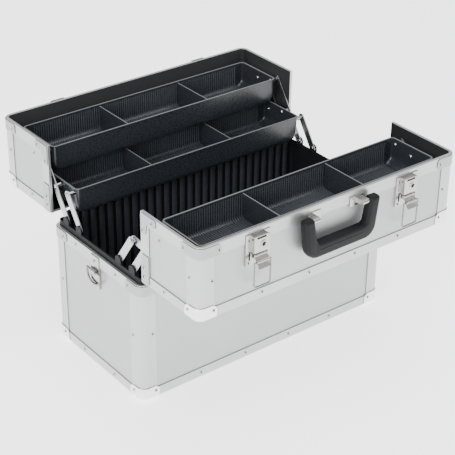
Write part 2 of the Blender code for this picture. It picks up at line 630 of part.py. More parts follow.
def arm(name, side, front, holes, origin_hole, parent):
    """A flat steel strip with round ends and a hole at each pivot.

    The holes are (y, z), with y outwards from the middle of the case.
    """
    first, last = Vector(holes[0]), Vector(holes[-1])
    along = (last - first).normalized()
    angle = atan2(along.y, along.x)
    outline = circle_points(last, ARM_WIDTH / 2, SMALL_STEPS // 2, angle - pi / 2, pi)
    outline += circle_points(first, ARM_WIDTH / 2, SMALL_STEPS // 2, angle + pi / 2, pi)
    outlines = [outline]
    for hole in holes:
        outlines.append(circle_points(hole, PIN_RADIUS + PIN_CLEARANCE, SMALL_STEPS))
    outlines = [[(front * y, z) for y, z in points] for points in outlines]
    start = ARM_INNER_X if side > 0 else -ARM_OUTER_X
    mesh = plate_mesh(outlines, ARM_THICKNESS, (start, 0, 0), Y_AXIS, Z_AXIS)
    y, z = holes[origin_hole]
    piece(name, mesh, ARM_STEEL, (side * ARM_INNER_X, front * y, z), parent)


def coupler(name, side, front, pins, parent, origin):
    """A bar that ties a pair of arms to the upper link where there is no middle tray."""
    half = ARM_WIDTH / 2
    near, far = Vector(pins[0]), Vector(pins[-1])
    outline = circle_points(far, half, SMALL_STEPS // 2, -pi / 2, pi)
    outline += circle_points(near, half, SMALL_STEPS // 2, pi / 2, pi)
    start = COUPLER_OUTER_X - COUPLER_THICKNESS if side > 0 else -COUPLER_OUTER_X
    outline = [(front * y, z) for y, z in outline]
    mesh = plate_mesh([outline], COUPLER_THICKNESS, (start, 0, 0), Y_AXIS, Z_AXIS)
    add = []
    for y, z in pins:
        add += pivot_pin(COUPLER_OUTER_X, side, front * y, z)
    piece(name, mesh, ARM_STEEL, origin, parent, add=add)


def cantilever(front, half_name):
    """The arms and trays of one side of the case. All the arms stay parallel, so the trays stay level."""
    long_foot = (LONG_ARM_Y, ARM_PIVOT_Z)
    long_middle = (LONG_ARM_Y + STEP_OUT, ARM_PIVOT_Z + STEP_UP)
    long_top = (LONG_ARM_Y + 2 * STEP_OUT, ARM_PIVOT_Z + 2 * STEP_UP)
    short_foot = (SHORT_ARM_Y, ARM_PIVOT_Z)
    short_top = (SHORT_ARM_Y + STEP_OUT, ARM_PIVOT_Z + STEP_UP)
    link_foot = (long_middle[0] + UPPER_LINK_OUT, long_middle[1] - UPPER_LINK_DROP)
    link_top = (link_foot[0] + STEP_OUT, link_foot[1] + STEP_UP)
    long_joint = joint(f"{half_name}_long_arm_axis", (0, front * long_foot[0], long_foot[1]))
    short_joint = joint(f"{half_name}_short_arm_axis", (0, front * short_foot[0], short_foot[1]))
    middle_joint = joint(f"{half_name}_middle_axis", (0, front * long_middle[0], long_middle[1]))
    link_joint = joint(f"{half_name}_upper_link_axis", (0, front * link_foot[0], link_foot[1]))
    top_joint = joint(f"{half_name}_top_axis", (0, front * long_top[0], long_top[1]))
    for side, end in LEFT_RIGHT:
        arm(f"{half_name}_long_arm_{end}", side, front, [long_foot, long_middle, long_top], 0, long_joint)
        arm(f"{half_name}_short_arm_{end}", side, front, [short_foot, short_top], 0, short_joint)
        arm(f"{half_name}_upper_link_{end}", side, front, [link_foot, link_top], 0, link_joint)
    middle_pins = [short_top, long_middle, link_foot]
    top_pins = [long_top, link_top]
    if front < 0:
        for side, end in LEFT_RIGHT:
            coupler(f"{half_name}_coupler_{end}", side, front, middle_pins, middle_joint,
                    middle_joint.location)
        tray("front_tray", front, FRONT_TRAY_Y, FRONT_TRAY_RIM_Z, top_pins, top_joint.location, top_joint)
    else:
        tray("middle_tray", front, MIDDLE_TRAY_Y, MIDDLE_TRAY_RIM_Z, middle_pins, middle_joint.location,
             middle_joint)
        tray("top_tray", front, MIDDLE_TRAY_Y + 2 * STEP_OUT, MIDDLE_TRAY_RIM_Z + STEP_UP, top_pins,
             top_joint.location, top_joint)


# --- handle ----------------------------------------------------------------------------------------

def carry_handle(parent):
    """A moulded grip that hangs on two brackets near the top of the front half's face."""
    face = -HALF_FACE_Y - SEAT_GAP
    axis_y = face - HANDLE_AXIS_OUT
    axis_z = HALF_TOP_Z - HANDLE_AXIS_DROP
    top = axis_z + HANDLE_RISE
    bottom = axis_z - HANDLE_DROP
    span = HANDLE_SPAN / 2
    foot = HANDLE_FOOT / 2
    inner_top = span - HANDLE_ARM
    inner_foot = foot - HANDLE_ARM
    round_foot = HANDLE_ARM
    inner_floor = bottom + HANDLE_GRIP
    right = [(inner_top, top), (inner_top, axis_z - HANDLE_RISE), (inner_foot, inner_floor)]
    outer = circle_points((foot - round_foot, bottom + round_foot), round_foot, 6, 0.0, -pi / 2)
    right_outer = [(span, top), (span, axis_z - HANDLE_RISE), *outer]
    outline = right + [(-x, z) for x, z in reversed(right)]
    outline += [(-x, z) for x, z in right_outer] + list(reversed(right_outer))
    grip = plate_mesh([outline], HANDLE_THICKNESS, (0, axis_y + HANDLE_THICKNESS / 2, 0), X_AXIS, Z_AXIS)
    bore = rod_mesh((0, axis_y, axis_z), X_AXIS, HANDLE_SPAN + OVERCUT, BRACKET_PIN_RADIUS + PIN_CLEARANCE)
    piece("carry_handle", grip, HANDLE_PLASTIC, (0, axis_y, axis_z), parent, cut=[bore])

    for side, end in LEFT_RIGHT:
        outer_x = inner_top - BRACKET_GAP
        inner_x = outer_x - BRACKET_LENGTH
        half = BRACKET_HEIGHT / 2
        plate = box_mesh((side * inner_x, face, axis_z - half),
                         (side * outer_x, face - FITTING_PLATE, axis_z + half))
        lug = box_mesh((side * (inner_x + outer_x) / 2, face - FITTING_PLATE / 2, axis_z - half / 2),
                       (side * outer_x, axis_y, axis_z + half / 2))
        nose = rod_mesh((side * (inner_x + 3 * outer_x) / 4, axis_y, axis_z), X_AXIS, BRACKET_LENGTH / 2,
                        half / 2)
        pin_end = span - HANDLE_ARM / 3
        pin = rod_mesh((side * (inner_x / 2 + outer_x / 2 + pin_end) / 2, axis_y, axis_z), X_AXIS,
                       pin_end - (inner_x + outer_x) / 2, BRACKET_PIN_RADIUS)
        piece(f"{end}_handle_bracket", plate, NICKEL, (0, axis_y, axis_z), parent, add=[lug, nose, pin])


# --- latches ---------------------------------------------------------------------------------------

def latches(parent):
    """Draw latches with a lock housing, a sloping lever and a wire bail."""
    face = -HALF_FACE_Y - SEAT_GAP
    top = HALF_TOP_Z - LATCH_TOP_DROP
    for side, end in LEFT_RIGHT:
        x = side * LATCH_X
        lock_top = top - LOCK_TOP_DROP
        lock_bottom = lock_top - LOCK_HEIGHT
        axis = Vector((x, face - LEVER_AXIS_OUT, lock_bottom - LEVER_AXIS_DROP))
        width = LATCH_WIDTH / 2
        plate = box_mesh((x - width, face, top - LATCH_HEIGHT), (x + width, face - FITTING_PLATE, top))
        pad = box_mesh((x - width, -HALF_FACE_Y + PANEL_OUT - SEAT_GAP, top - LATCH_HEIGHT),
                       (x + width, face - FITTING_PLATE / 2, HALF_TOP_Z - RIM_FLANGE - SEAT_GAP))
        lock = box_mesh((x - LOCK_WIDTH / 2, face - FITTING_PLATE / 2, lock_bottom),
                        (x + LOCK_WIDTH / 2, face - FITTING_PLATE - LOCK_DEPTH, lock_top))
        add = [pad, lock]
        inside = LEVER_WIDTH / 2 + PIN_CLEARANCE
        for hand in (-1, 1):
            lug_x = x + hand * (inside + LUG_THICKNESS)
            add.append(box_mesh((x + hand * inside, face - FITTING_PLATE / 2, axis.z - LEVER_BARREL),
                                (lug_x, axis.y - LEVER_BARREL, axis.z + LEVER_BARREL)))
        pin = LEVER_BARREL / 2
        add.append(rod_mesh(axis, X_AXIS, 2 * inside + LUG_THICKNESS, pin, SMALL_STEPS))
        piece(f"{end}_latch_plate", plate, NICKEL, axis, parent, add=add)

        lever_joint = joint(f"{end}_latch_lever_axis", axis)
        slope = Vector((0, -sin(LEVER_SLOPE), -cos(LEVER_SLOPE)))
        normal = X_AXIS.cross(slope) * LEVER_THICKNESS / 2
        blade_start = axis + slope * (pin + PIN_CLEARANCE + LEVER_THICKNESS / 2)
        blade_end = axis + slope * LEVER_LENGTH
        corners = [blade_start - normal, blade_end - normal, blade_end + normal, blade_start + normal]
        blade = plate_mesh([[(c.y, c.z) for c in corners]], LEVER_WIDTH, (x - LEVER_WIDTH / 2, 0, 0),
                           Y_AXIS, Z_AXIS)
        bail_axis = axis + slope * BAIL_PIVOT_REACH
        barrel = rod_mesh(axis, X_AXIS, LEVER_WIDTH, LEVER_BARREL, SMALL_STEPS)
        tube = rod_mesh(bail_axis, X_AXIS, LEVER_WIDTH, BAIL_TUBE, SMALL_STEPS)
        bores = [rod_mesh(axis, X_AXIS, LEVER_WIDTH + OVERCUT, pin + PIN_CLEARANCE, SMALL_STEPS),
                 rod_mesh(bail_axis, X_AXIS, LEVER_WIDTH + OVERCUT, BAIL_WIRE + PIN_CLEARANCE, SMALL_STEPS)]
        piece(f"{end}_latch_lever", blade, NICKEL, axis, lever_joint, add=[barrel, tube], cut=bores)

        half = BAIL_WIDTH / 2
        corner = BAIL_WIRE * 3
        hang = bail_axis.z - BAIL_LENGTH
        loop = [(x - half, bail_axis.z), (x + half, bail_axis.z)]
        loop += circle_points((x + half - corner, hang + corner), corner, 3, 0.0, -pi / 2)
        loop += circle_points((x - half + corner, hang + corner), corner, 3, -pi / 2, -pi / 2)
        points = [(u, bail_axis.y, v) for u, v in loop]
        piece(f"{end}_latch_bail", wire_mesh(points, BAIL_WIRE), NICKEL, bail_axis, lever_joint)


# --- the whole case --------------------------------------------------------------------------------

def build():
    start_empty_scene()
    base_panels()
    base_floor()
    base_frame()
    base_liner()
    strap_rings()
    for front, half_name in ((-1, "front_half"), (1, "rear_half")):
        axis = joint(f"{half_name}_hinge_axis", (0, front * HINGE_Y, HINGE_Z))
        half_frame(half_name, front, axis)
        half_panels(half_name, front, axis)
        hinge_leaf(f"{half_name}_hinge_leaf", front, True, axis)
        side_name = half_name.split("_")[0]
        hinge_leaf(f"base_{side_name}_hinge_leaf", front, False)
        cantilever(front, side_name)
        if front < 0:
            carry_handle(axis)
            latches(axis)
        else:
            catches(axis)


build()
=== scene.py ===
import json
from functools import partial
from math import cos, pi, radians, sin, sqrt

import bmesh
import bpy
from mathutils import Matrix, Vector


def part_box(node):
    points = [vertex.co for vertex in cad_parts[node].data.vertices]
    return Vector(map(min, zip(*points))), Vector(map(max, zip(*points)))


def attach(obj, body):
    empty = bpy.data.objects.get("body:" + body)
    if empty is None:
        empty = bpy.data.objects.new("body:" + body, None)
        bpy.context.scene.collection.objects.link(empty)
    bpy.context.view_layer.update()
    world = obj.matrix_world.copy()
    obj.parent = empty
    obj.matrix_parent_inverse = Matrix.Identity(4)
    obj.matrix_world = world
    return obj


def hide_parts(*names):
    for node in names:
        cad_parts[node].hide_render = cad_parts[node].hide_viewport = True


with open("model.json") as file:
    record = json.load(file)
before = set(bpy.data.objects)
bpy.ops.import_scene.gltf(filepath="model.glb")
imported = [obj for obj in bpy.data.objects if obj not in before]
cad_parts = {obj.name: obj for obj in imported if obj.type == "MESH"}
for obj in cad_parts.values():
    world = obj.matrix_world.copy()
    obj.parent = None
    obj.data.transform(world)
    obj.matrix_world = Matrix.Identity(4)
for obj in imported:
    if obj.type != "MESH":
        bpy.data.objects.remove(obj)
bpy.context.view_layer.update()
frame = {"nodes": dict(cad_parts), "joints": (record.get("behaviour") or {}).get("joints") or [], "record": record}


# --- Studio -----------------------------------------------------------------------------------------
# A glowing white paper floor, one large soft light overhead, one from the left and a weak one from
# the right, and a long lens that looks down on the open case from its front left corner.

def linear(hex_colour):
    """An sRGB hex colour as linear RGBA."""
    channels = [int(hex_colour[i:i + 2], 16) / 255 for i in (1, 3, 5)]
    return (*[c / 12.92 if c <= 0.04045 else ((c + 0.055) / 1.055) ** 2.4 for c in channels], 1.0)


def add_node(tree, kind, sockets=None, **settings):
    """A node with its settings, and each socket set or, where the value is an output, linked."""
    made = tree.nodes.new(kind)
    for name, value in settings.items():
        setattr(made, name, value)
    for name, value in (sockets or {}).items():
        if isinstance(value, bpy.types.NodeSocket):
            tree.links.new(value, made.inputs[name])
        else:
            made.inputs[name].default_value = value
    return made


def new_material(name, **shader_values):
    """A material and its one Principled shader, whose sockets are given with _ for a space."""
    made = bpy.data.materials.new(name)
    made.use_nodes = True
    tree = made.node_tree
    tree.nodes.clear()
    sockets = {key.replace("_", " "): value for key, value in shader_values.items()}
    shader = add_node(tree, "ShaderNodeBsdfPrincipled", sockets)
    add_node(tree, "ShaderNodeOutputMaterial", {"Surface": shader.outputs["BSDF"]})
    return made, shader


floor_mesh = bpy.data.meshes.new("paper_floor")
FLOOR_REACH = 9.0
PAPER_GLOW = 1.8
FLOOR_Z = frame["record"]["mounts"][1]["pos_m"][2]
corners = [(x, y, FLOOR_Z) for x, y in ((-1, -1), (1, -1), (1, 1), (-1, 1))]
floor_mesh.from_pydata([(x * FLOOR_REACH, y * FLOOR_REACH, z) for x, y, z in corners], [], [(0, 1, 2, 3)])
paper, _ = new_material("white_background_paper", Roughness=0.95, Specular_IOR_Level=0.1,
                        Base_Color=linear("#FDFDFD"), Emission_Color=linear("#FFFFFF"),
                        Emission_Strength=PAPER_GLOW)
floor_mesh.materials.append(paper)
floor = bpy.data.objects.new("paper_floor", floor_mesh)
bpy.context.scene.collection.objects.link(floor)

WORLD_STRENGTH = 0.95
world = bpy.data.worlds.new("white_studio")
world.use_nodes = True
world.node_tree.nodes["Background"].inputs["Color"].default_value = linear("#FFFFFF")
world.node_tree.nodes["Background"].inputs["Strength"].default_value = WORLD_STRENGTH
bpy.context.scene.world = world

SOFTBOXES = (
    # name, place, width, height, power in watts
    ("overhead_softbox", (0.2, -0.3, 2.6), 2.6, 2.2, 48),
    ("left_softbox", (-3.0, -1.1, 1.4), 1.6, 1.6, 95),
    ("right_fill_softbox", (2.6, -1.2, 1.4), 1.6, 1.6, 4),
)
AIM = Vector((0, 0, 0.16))
for name, place, width, height, watts in SOFTBOXES:
    lamp = bpy.data.lights.new(name, 'AREA')
    lamp.shape = 'RECTANGLE'
    lamp.size = width
    lamp.size_y = height
    lamp.energy = watts
    holder = bpy.data.objects.new(name, lamp)
    holder.location = place
    holder.rotation_mode = 'QUATERNION'
    holder.rotation_quaternion = (AIM - Vector(place)).to_track_quat('-Z', 'Y')
    bpy.context.scene.collection.objects.link(holder)

CAMERA_PLACE = Vector((-1.1010, -1.4132, 1.1890))
CAMERA_YAW = radians(38.14)
CAMERA_PITCH = radians(29.88)
CAMERA_ROLL = radians(0.77)
SENSOR_MM = 36
FOCAL_PX = 1355.2
FRAME_PX = 455
LENS_REACH = 50
look = Vector((sin(CAMERA_YAW) * cos(CAMERA_PITCH), cos(CAMERA_YAW) * cos(CAMERA_PITCH), -sin(CAMERA_PITCH)))
level = Vector((cos(CAMERA_YAW), -sin(CAMERA_YAW), 0))
upright = level.cross(look)
across = level * cos(CAMERA_ROLL) + upright * sin(CAMERA_ROLL)
upward = upright * cos(CAMERA_ROLL) - level * sin(CAMERA_ROLL)
lens = bpy.data.cameras.new("long_lens")
lens.sensor_width = SENSOR_MM
lens.lens = FOCAL_PX / FRAME_PX * SENSOR_MM
lens.clip_end = LENS_REACH
camera = bpy.data.objects.new("long_lens", lens)
camera.matrix_world = Matrix.Translation(CAMERA_PLACE) @ Matrix((across, upward, -look)).transposed().to_4x4()
bpy.context.scene.collection.objects.link(camera)
bpy.context.scene.camera = camera


# --- Shell panels -----------------------------------------------------------------------------------
# The flat sides of the base and of both halves. Each is satin anodised aluminium sheet, cut to size
# and held on all its edges by the folded profiles.

SHEET_NODES = [name for name in frame["nodes"] if name.endswith("_panel") and name != "base_floor_panel"]


def noise(shader, scale, detail=2.0, roughness=0.5, stretch=(1, 1, 1)):
    """The factor of a noise on Object coordinates in metres, with its scale in features per metre."""
    tree = shader.id_data
    place = add_node(tree, "ShaderNodeTexCoord")
    mapped = add_node(tree, "ShaderNodeMapping", {"Vector": place.outputs["Object"], "Scale": stretch})
    made = add_node(tree, "ShaderNodeTexNoise", {"Vector": mapped.outputs["Vector"], "Scale": scale,
                                                 "Detail": detail, "Roughness": roughness})
    return made.outputs["Fac"]


def coloured(shader, factor, first, second):
    """Mixes two hex colours by a factor into the base colour."""
    tree = shader.id_data
    made = add_node(tree, "ShaderNodeMix", data_type='RGBA')
    sockets = {s.identifier: s for s in made.inputs}
    tree.links.new(factor, sockets["Factor_Float"])
    sockets["A_Color"].default_value = linear(first)
    sockets["B_Color"].default_value = linear(second)
    result = {s.identifier: s for s in made.outputs}["Result_Color"]
    tree.links.new(result, shader.inputs["Base Color"])


def roughened(shader, factor, low, high):
    """Brings a factor from 0 to 1 between two values of roughness."""
    tree = shader.id_data
    made = add_node(tree, "ShaderNodeMapRange", {"Value": factor, "To Min": low, "To Max": high})
    tree.links.new(made.outputs["Result"], shader.inputs["Roughness"])


def embossed(shader, factor, depth, strength):
    """A bump from a factor, with its depth in metres."""
    tree = shader.id_data
    made = add_node(tree, "ShaderNodeBump", {"Height": factor, "Distance": depth, "Strength": strength})
    tree.links.new(made.outputs["Normal"], shader.inputs["Normal"])


# Satin anodised sheet: a dull even silver, with a fine etched grain (drawn at 1.2 mm, because the real
# 0.1 mm grain would not show) and slow cloudiness some 60 mm across.
anodised_sheet, shader = new_material("satin_anodised_aluminium_sheet", Metallic=0.75)
cloud = noise(shader, 16, 2.0)
grain = noise(shader, 800, 2.0)
coloured(shader, cloud, "#ADAEAF", "#B9BABB")
roughened(shader, cloud, 0.40, 0.52)
embossed(shader, grain, 0.00002, 0.5)


def finish_node(name, material):
    """Gives a CAD node its material."""
    for slot in frame["nodes"][name].material_slots:
        slot.material = material


for name in SHEET_NODES:
    finish_node(name, anodised_sheet)


# --- Edge profiles ----------------------------------------------------------------------------------
# Folded aluminium profiles over every edge of the base and the halves. They are drawn, brightened and
# riveted through the sheet, and their edges are eased by the drawing.

def merged_copy(node):
    """A CAD node's mesh with its loose triangles joined into clean faces."""
    mesh = frame["nodes"][node].data.copy()
    bm = bmesh.new()
    bm.from_mesh(mesh)
    bmesh.ops.remove_doubles(bm, verts=bm.verts, dist=1e-6)
    bmesh.ops.dissolve_limit(bm, angle_limit=radians(0.6), verts=bm.verts, edges=bm.edges)
    bmesh.ops.recalc_face_normals(bm, faces=bm.faces)
    bm.to_mesh(mesh)
    bm.free()
    return mesh


def shade(mesh, angle=35):
    """Smooth shading that breaks at edges sharper than an angle in degrees."""
    mesh.shade_smooth()
    mesh.set_sharp_from_angle(angle=radians(angle))


def ease(thing, width, steps=2, angle=35):
    """Rounds the edges of a piece that are sharper than an angle in degrees."""
    rounding = thing.modifiers.new("eased_edges", 'BEVEL')
    rounding.width = width
    rounding.segments = steps
    rounding.limit_method = 'ANGLE'
    rounding.angle_limit = radians(angle)
    rounding.harden_normals = True


def show(name, mesh, material, body, replaces=(), edge=0.0, steps=2):
    """A piece at the origin that rides on a body, with its edges eased by a radius in metres."""
    mesh.name = name
    mesh.materials.clear()
    mesh.materials.append(material)
    thing = bpy.data.objects.new(name, mesh)
    bpy.context.scene.collection.objects.link(thing)
    if edge:
        ease(thing, edge, steps)
    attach(thing, body)
    if replaces:
        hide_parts(*replaces)
    return thing


def refinish(node, name, material, body, edge=0.0, steps=2, angle=35):
    """A CAD node's own shape with clean faces and eased edges, shown in place of the node."""
    mesh = merged_copy(node)
    shade(mesh, angle)
    return show(name, mesh, material, body, [node], edge, steps)


# Drawn aluminium profile: brighter and smoother than the sheet, with faint draw marks along it.
drawn_profile, shader = new_material("drawn_aluminium_profile", Metallic=0.8)
cloud = noise(shader, 22, 2.0)
marks = noise(shader, 900, 2.0)
coloured(shader, cloud, "#B2B3B4", "#BFC0C0")
roughened(shader, marks, 0.28, 0.40)
embossed(shader, marks, 0.00001, 0.4)

PROFILE_EDGE = 0.0004
for body in ("base", "front_half", "rear_half"):
    refinish(f"{body}_frame", f"{body}_profiles", drawn_profile, body, PROFILE_EDGE)


# --- Black linings ----------------------------------------------------------------------------------
# Inside each half a thin black board is bent round the face and both ends, above a floor board. The
# base has a moulded black box with a lip, and broad low upright ribs on its long walls.

# Textured black board: matte and near neutral, with a 1 mm leather-like emboss.
black_board, shader = new_material("embossed_black_board", Roughness=0.62, Specular_IOR_Level=0.25)
emboss = noise(shader, 900, 3.0)
cloud = noise(shader, 30, 2.0)
coloured(shader, cloud, "#0C0D0E", "#141517")
embossed(shader, emboss, 0.00008, 0.6)

LINING_THICKNESS = 0.0004
LINING_CORNER = 0.007
LINING_RIM_DROP = 0.0006


def arc(centre, radius, start, turn, steps):
    """Points along an arc, with angles in degrees."""
    return [(centre[0] + radius * cos(radians(start + turn * i / steps)),
             centre[1] + radius * sin(radians(start + turn * i / steps))) for i in range(steps + 1)]


def as_mesh(name, bm):
    """The mesh of an edit mesh, which is then freed."""
    mesh = bpy.data.meshes.new(name)
    bm.to_mesh(mesh)
    bm.free()
    return mesh


def half_lining(half, front):
    """One bent sheet along an end, the face and the other end, with the floor board under it."""
    inner = 1 if front < 0 else 0
    inner_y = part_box(f"{half}_face_panel")[inner].y
    rim_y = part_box(f"{half}_frame")[inner].y
    end_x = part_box(f"{half}_right_panel")[0].x
    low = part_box(f"{half}_hinge_side_panel")[1].z
    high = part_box(f"{half}_frame")[1].z - LINING_RIM_DROP
    out = abs(inner_y) - LINING_THICKNESS / 2
    x = end_x - LINING_THICKNESS / 2
    start = abs(rim_y) + LINING_RIM_DROP
    path = [(x, start)] + arc((x - LINING_CORNER, out - LINING_CORNER), LINING_CORNER, 0, 90, 6)
    path += [(-u, v) for u, v in reversed(path)]
    bm = bmesh.new()
    lower = [bm.verts.new((u, front * v, low + LINING_THICKNESS / 2)) for u, v in path]
    upper = [bm.verts.new((u, front * v, high)) for u, v in path]
    for i in range(len(path) - 1):
        bm.faces.new((lower[i], lower[i + 1], upper[i + 1], upper[i]))
    bm.faces.new(lower)
    bmesh.ops.recalc_face_normals(bm, faces=bm.faces)
    mesh = as_mesh(f"{half}_lining", bm)
    shade(mesh)
    sheet = show(f"{half}_lining", mesh, black_board, half)
    wall = sheet.modifiers.new("board_thickness", 'SOLIDIFY')
    wall.thickness = LINING_THICKNESS
    wall.offset = 0


half_lining("front_half", -1)
half_lining("rear_half", 1)

refinish("base_liner", "base_lining_box", black_board, "base")


def repeated_along_x(name, unit, count, pitch, first_x, material):
    """A unit mesh repeated at a pitch along X by Geometry Nodes, as one plain mesh."""
    tree = bpy.data.node_groups.new(name, 'GeometryNodeTree')
    face = tree.interface
    face.new_socket("Unit", in_out='INPUT', socket_type='NodeSocketGeometry')
    sizes = {}
    for label, kind, value in (("Count", 'NodeSocketInt', count), ("Pitch", 'NodeSocketFloat', pitch),
                               ("First X", 'NodeSocketFloat', first_x)):
        sizes[face.new_socket(label, in_out='INPUT', socket_type=kind).identifier] = value
    face.new_socket("Geometry", in_out='OUTPUT', socket_type='NodeSocketGeometry')
    step = partial(add_node, tree)
    given = step("NodeGroupInput").outputs
    offset = step("ShaderNodeCombineXYZ", {"X": given["Pitch"]})
    start = step("ShaderNodeCombineXYZ", {"X": given["First X"]})
    line = step("GeometryNodeMeshLine", {"Count": given["Count"], "Start Location": start.outputs["Vector"],
                                         "Offset": offset.outputs["Vector"]})
    spread = step("GeometryNodeInstanceOnPoints", {"Points": line.outputs["Mesh"], "Instance": given["Unit"]})
    real = step("GeometryNodeRealizeInstances", {"Geometry": spread.outputs["Instances"]})
    finish = step("GeometryNodeSetMaterial", {"Geometry": real.outputs["Geometry"], "Material": material})
    step("NodeGroupOutput", {"Geometry": finish.outputs["Geometry"]})
    return plain_mesh(name, unit, tree, sizes)


def plain_mesh(name, mesh, tree, sizes):
    """The mesh that a Geometry Nodes tree makes of another, with the tree's inputs set by identifier."""
    holder = bpy.data.objects.new(name, mesh)
    bpy.context.scene.collection.objects.link(holder)
    step = holder.modifiers.new(name, 'NODES')
    step.node_group = tree
    for identifier, value in sizes.items():
        step[identifier] = value
    made = bpy.data.meshes.new_from_object(holder.evaluated_get(bpy.context.evaluated_depsgraph_get()))
    holder.modifiers.clear()
    bpy.data.objects.remove(holder)
    return made


def skin(rows, looped=False, concave=False):
    """A closed shape over rows of points, whose end rows are joined if looped, or else capped."""
    bm = bmesh.new()
    rings = [[bm.verts.new(point) for point in row] for row in rows]
    following = rings[1:] + rings[:1] if looped else rings[1:]
    for low, high in zip(rings, following):
        for i in range(len(low)):
            j = (i + 1) % len(low)
            bm.faces.new((low[i], low[j], high[j], high[i]))
    for ring in () if looped else (rings[0], rings[-1]):
        cap = bm.faces.new(ring)
        if concave:
            bmesh.ops.triangulate(bm, faces=[cap], ngon_method='EAR_CLIP')
    bmesh.ops.recalc_face_normals(bm, faces=bm.faces)
    return bm


RIDGE_ROOT = 0.0003


def ridge(path, normals, width, height):
    """A low half-round ridge about x = 0, along a path of (y, z) points with a normal at each."""
    section = [(-width / 2, -RIDGE_ROOT), (-width / 3, height * 0.75), (0, height),
               (width / 3, height * 0.75), (width / 2, -RIDGE_ROOT)]
    rows = [[(x, y + ny * h, z + nz * h) for x, h in section] for (y, z), (ny, nz) in zip(path, normals)]
    return as_mesh("ridge", skin(rows))


# Rib strip: the same embossed board painted a paler blue-black than the wall behind it, as a painted highlight on
# the ribs.
rib_highlight_board, shader = new_material("painted_highlight_board_rib", Roughness=0.5)
rib_highlight_noise = noise(shader, 30, 3.0, 0.5, (1, 1, 4))
coloured(shader, rib_highlight_noise, "#2E3238", "#3D4148")

LINER_RIB_PITCH = 0.015
LINER_RIB_WIDTH = 0.0105
LINER_RIB_HEIGHT = 0.0013
LINER_RIB_COUNT = 29
LINER_WALL = 0.002
LINER_RIB_RIM_GAP = 0.003
liner_low, liner_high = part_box("base_liner")
for side, name in ((-1, "front"), (1, "rear")):
    wall_y = side * (liner_high.y - LINER_WALL)
    upright = [(wall_y, liner_low.z + 2 * LINER_WALL), (wall_y, liner_high.z - LINER_RIB_RIM_GAP)]
    rib = ridge(upright, [(-side, 0)] * 2, LINER_RIB_WIDTH, LINER_RIB_HEIGHT)
    # The liner ribs take the paler board colour: a painted highlight.
    ribs = repeated_along_x(f"liner_{name}_ribs", rib, LINER_RIB_COUNT, LINER_RIB_PITCH,
                            -LINER_RIB_PITCH * (LINER_RIB_COUNT - 1) / 2, rib_highlight_board)
    shade(ribs, 50)
    show(f"liner_{name}_ribs", ribs, rib_highlight_board, "base")


# --- Trays ------------------------------------------------------------------------------------------
# Three long trays moulded in glossy black ABS, with a narrow rim, broadly rounded ends and fine ribs
# that run down the long walls and across the floor. Two dividers stand in each of them.

# Moulded ABS: glossy near-black, with a faint 8 mm waviness and hairline scuffs.
moulded_abs, shader = new_material("glossy_black_moulded_abs", IOR=1.53)
wave = noise(shader, 120, 2.0)
scuff = noise(shader, 600, 3.0, 0.6, (1, 6, 1))
coloured(shader, wave, "#22262A", "#2A2E33")
roughened(shader, scuff, 0.20, 0.36)
embossed(shader, wave, 0.00005, 0.3)

# Rib crests: the same plastic painted paler and made duller, a painted highlight along the ribs, which draws out
# the fine stripes.
crest_highlight_abs, shader = new_material("painted_highlight_abs_rib_crest", IOR=1.53, Roughness=0.5, Specular_IOR_Level=0.25)
crest_noise = noise(shader, 120, 3.0)
coloured(shader, crest_noise, "#3A3E43", "#4E5359")

# The same plastic painted dull grey along the rims and the divider tops: a painted highlight where those edges
# catch the light.
edge_highlight_abs, shader = new_material("painted_highlight_grey_abs_edge", Roughness=0.45, IOR=1.53)
highlight_noise = noise(shader, 500, 2.0)
coloured(shader, highlight_noise, "#5A5C5E", "#727476")

# Nickel-plated steel: bright and slightly warm, with soft pressing marks.
nickel, shader = new_material("nickel_plated_pressed_steel", Metallic=1.0)
press = noise(shader, 180, 2.0)
coloured(shader, press, "#A3A2A0", "#BFBEBC")
roughened(shader, press, 0.14, 0.26)
embossed(shader, press, 0.00006, 0.4)

# The open centre of a rivet or a slot in a fitting: a painted black shadow, faintly mottled.
dark_hollow, shader = new_material("shadowed_hollow", Roughness=0.8)
shadow_mottle = noise(shader, 700, 2.0)
coloured(shader, shadow_mottle, "#060606", "#101112")

TRAY_RIM = 0.0015
TRAY_WALL = 0.0016
TRAY_PLAN_RADIUS = 0.006
TRAY_FLOOR_RADIUS = 0.0085
TRAY_END_RADIUS = 0.017
TRAY_RIB_PITCH = 0.004
TRAY_RIB_WIDTH = 0.0021
TRAY_RIB_HEIGHT = 0.0007
TRAY_RIB_COUNT = 97
TRAY_RIB_RIM_GAP = 0.0035
TRAY_RIB_BEND_STEPS = 5
TRAY_LENGTH = 0.4224
TRAY_DEPTH = 0.088
TRAY_HEIGHT = 0.0425
TRAY_EDGE = 0.0003
# Sizes of the thin grey strips painted as highlights on the tray rims and the divider tops.
HIGHLIGHT_RISE = 0.0003
HIGHLIGHT_OUTER = TRAY_RIM - 0.0002
HIGHLIGHT_INNER = -0.0010
DIVIDER_HIGHLIGHT = 0.0004


def rounded_ring(half_x, half_y, radius, steps=6):
    """A rounded rectangle about the origin."""
    ring = []
    for sx, sy, start in ((1, 1, 0), (-1, 1, 90), (-1, -1, 180), (1, -1, 270)):
        ring += arc((sx * (half_x - radius), sy * (half_y - radius)), radius, start, 90, steps)
    return ring


def drawn_in(rise, radius):
    """How far a wall has curved in at a height above the floor."""
    return 0.0 if rise >= radius else radius - sqrt(max(0.0, radius ** 2 - (radius - rise) ** 2))


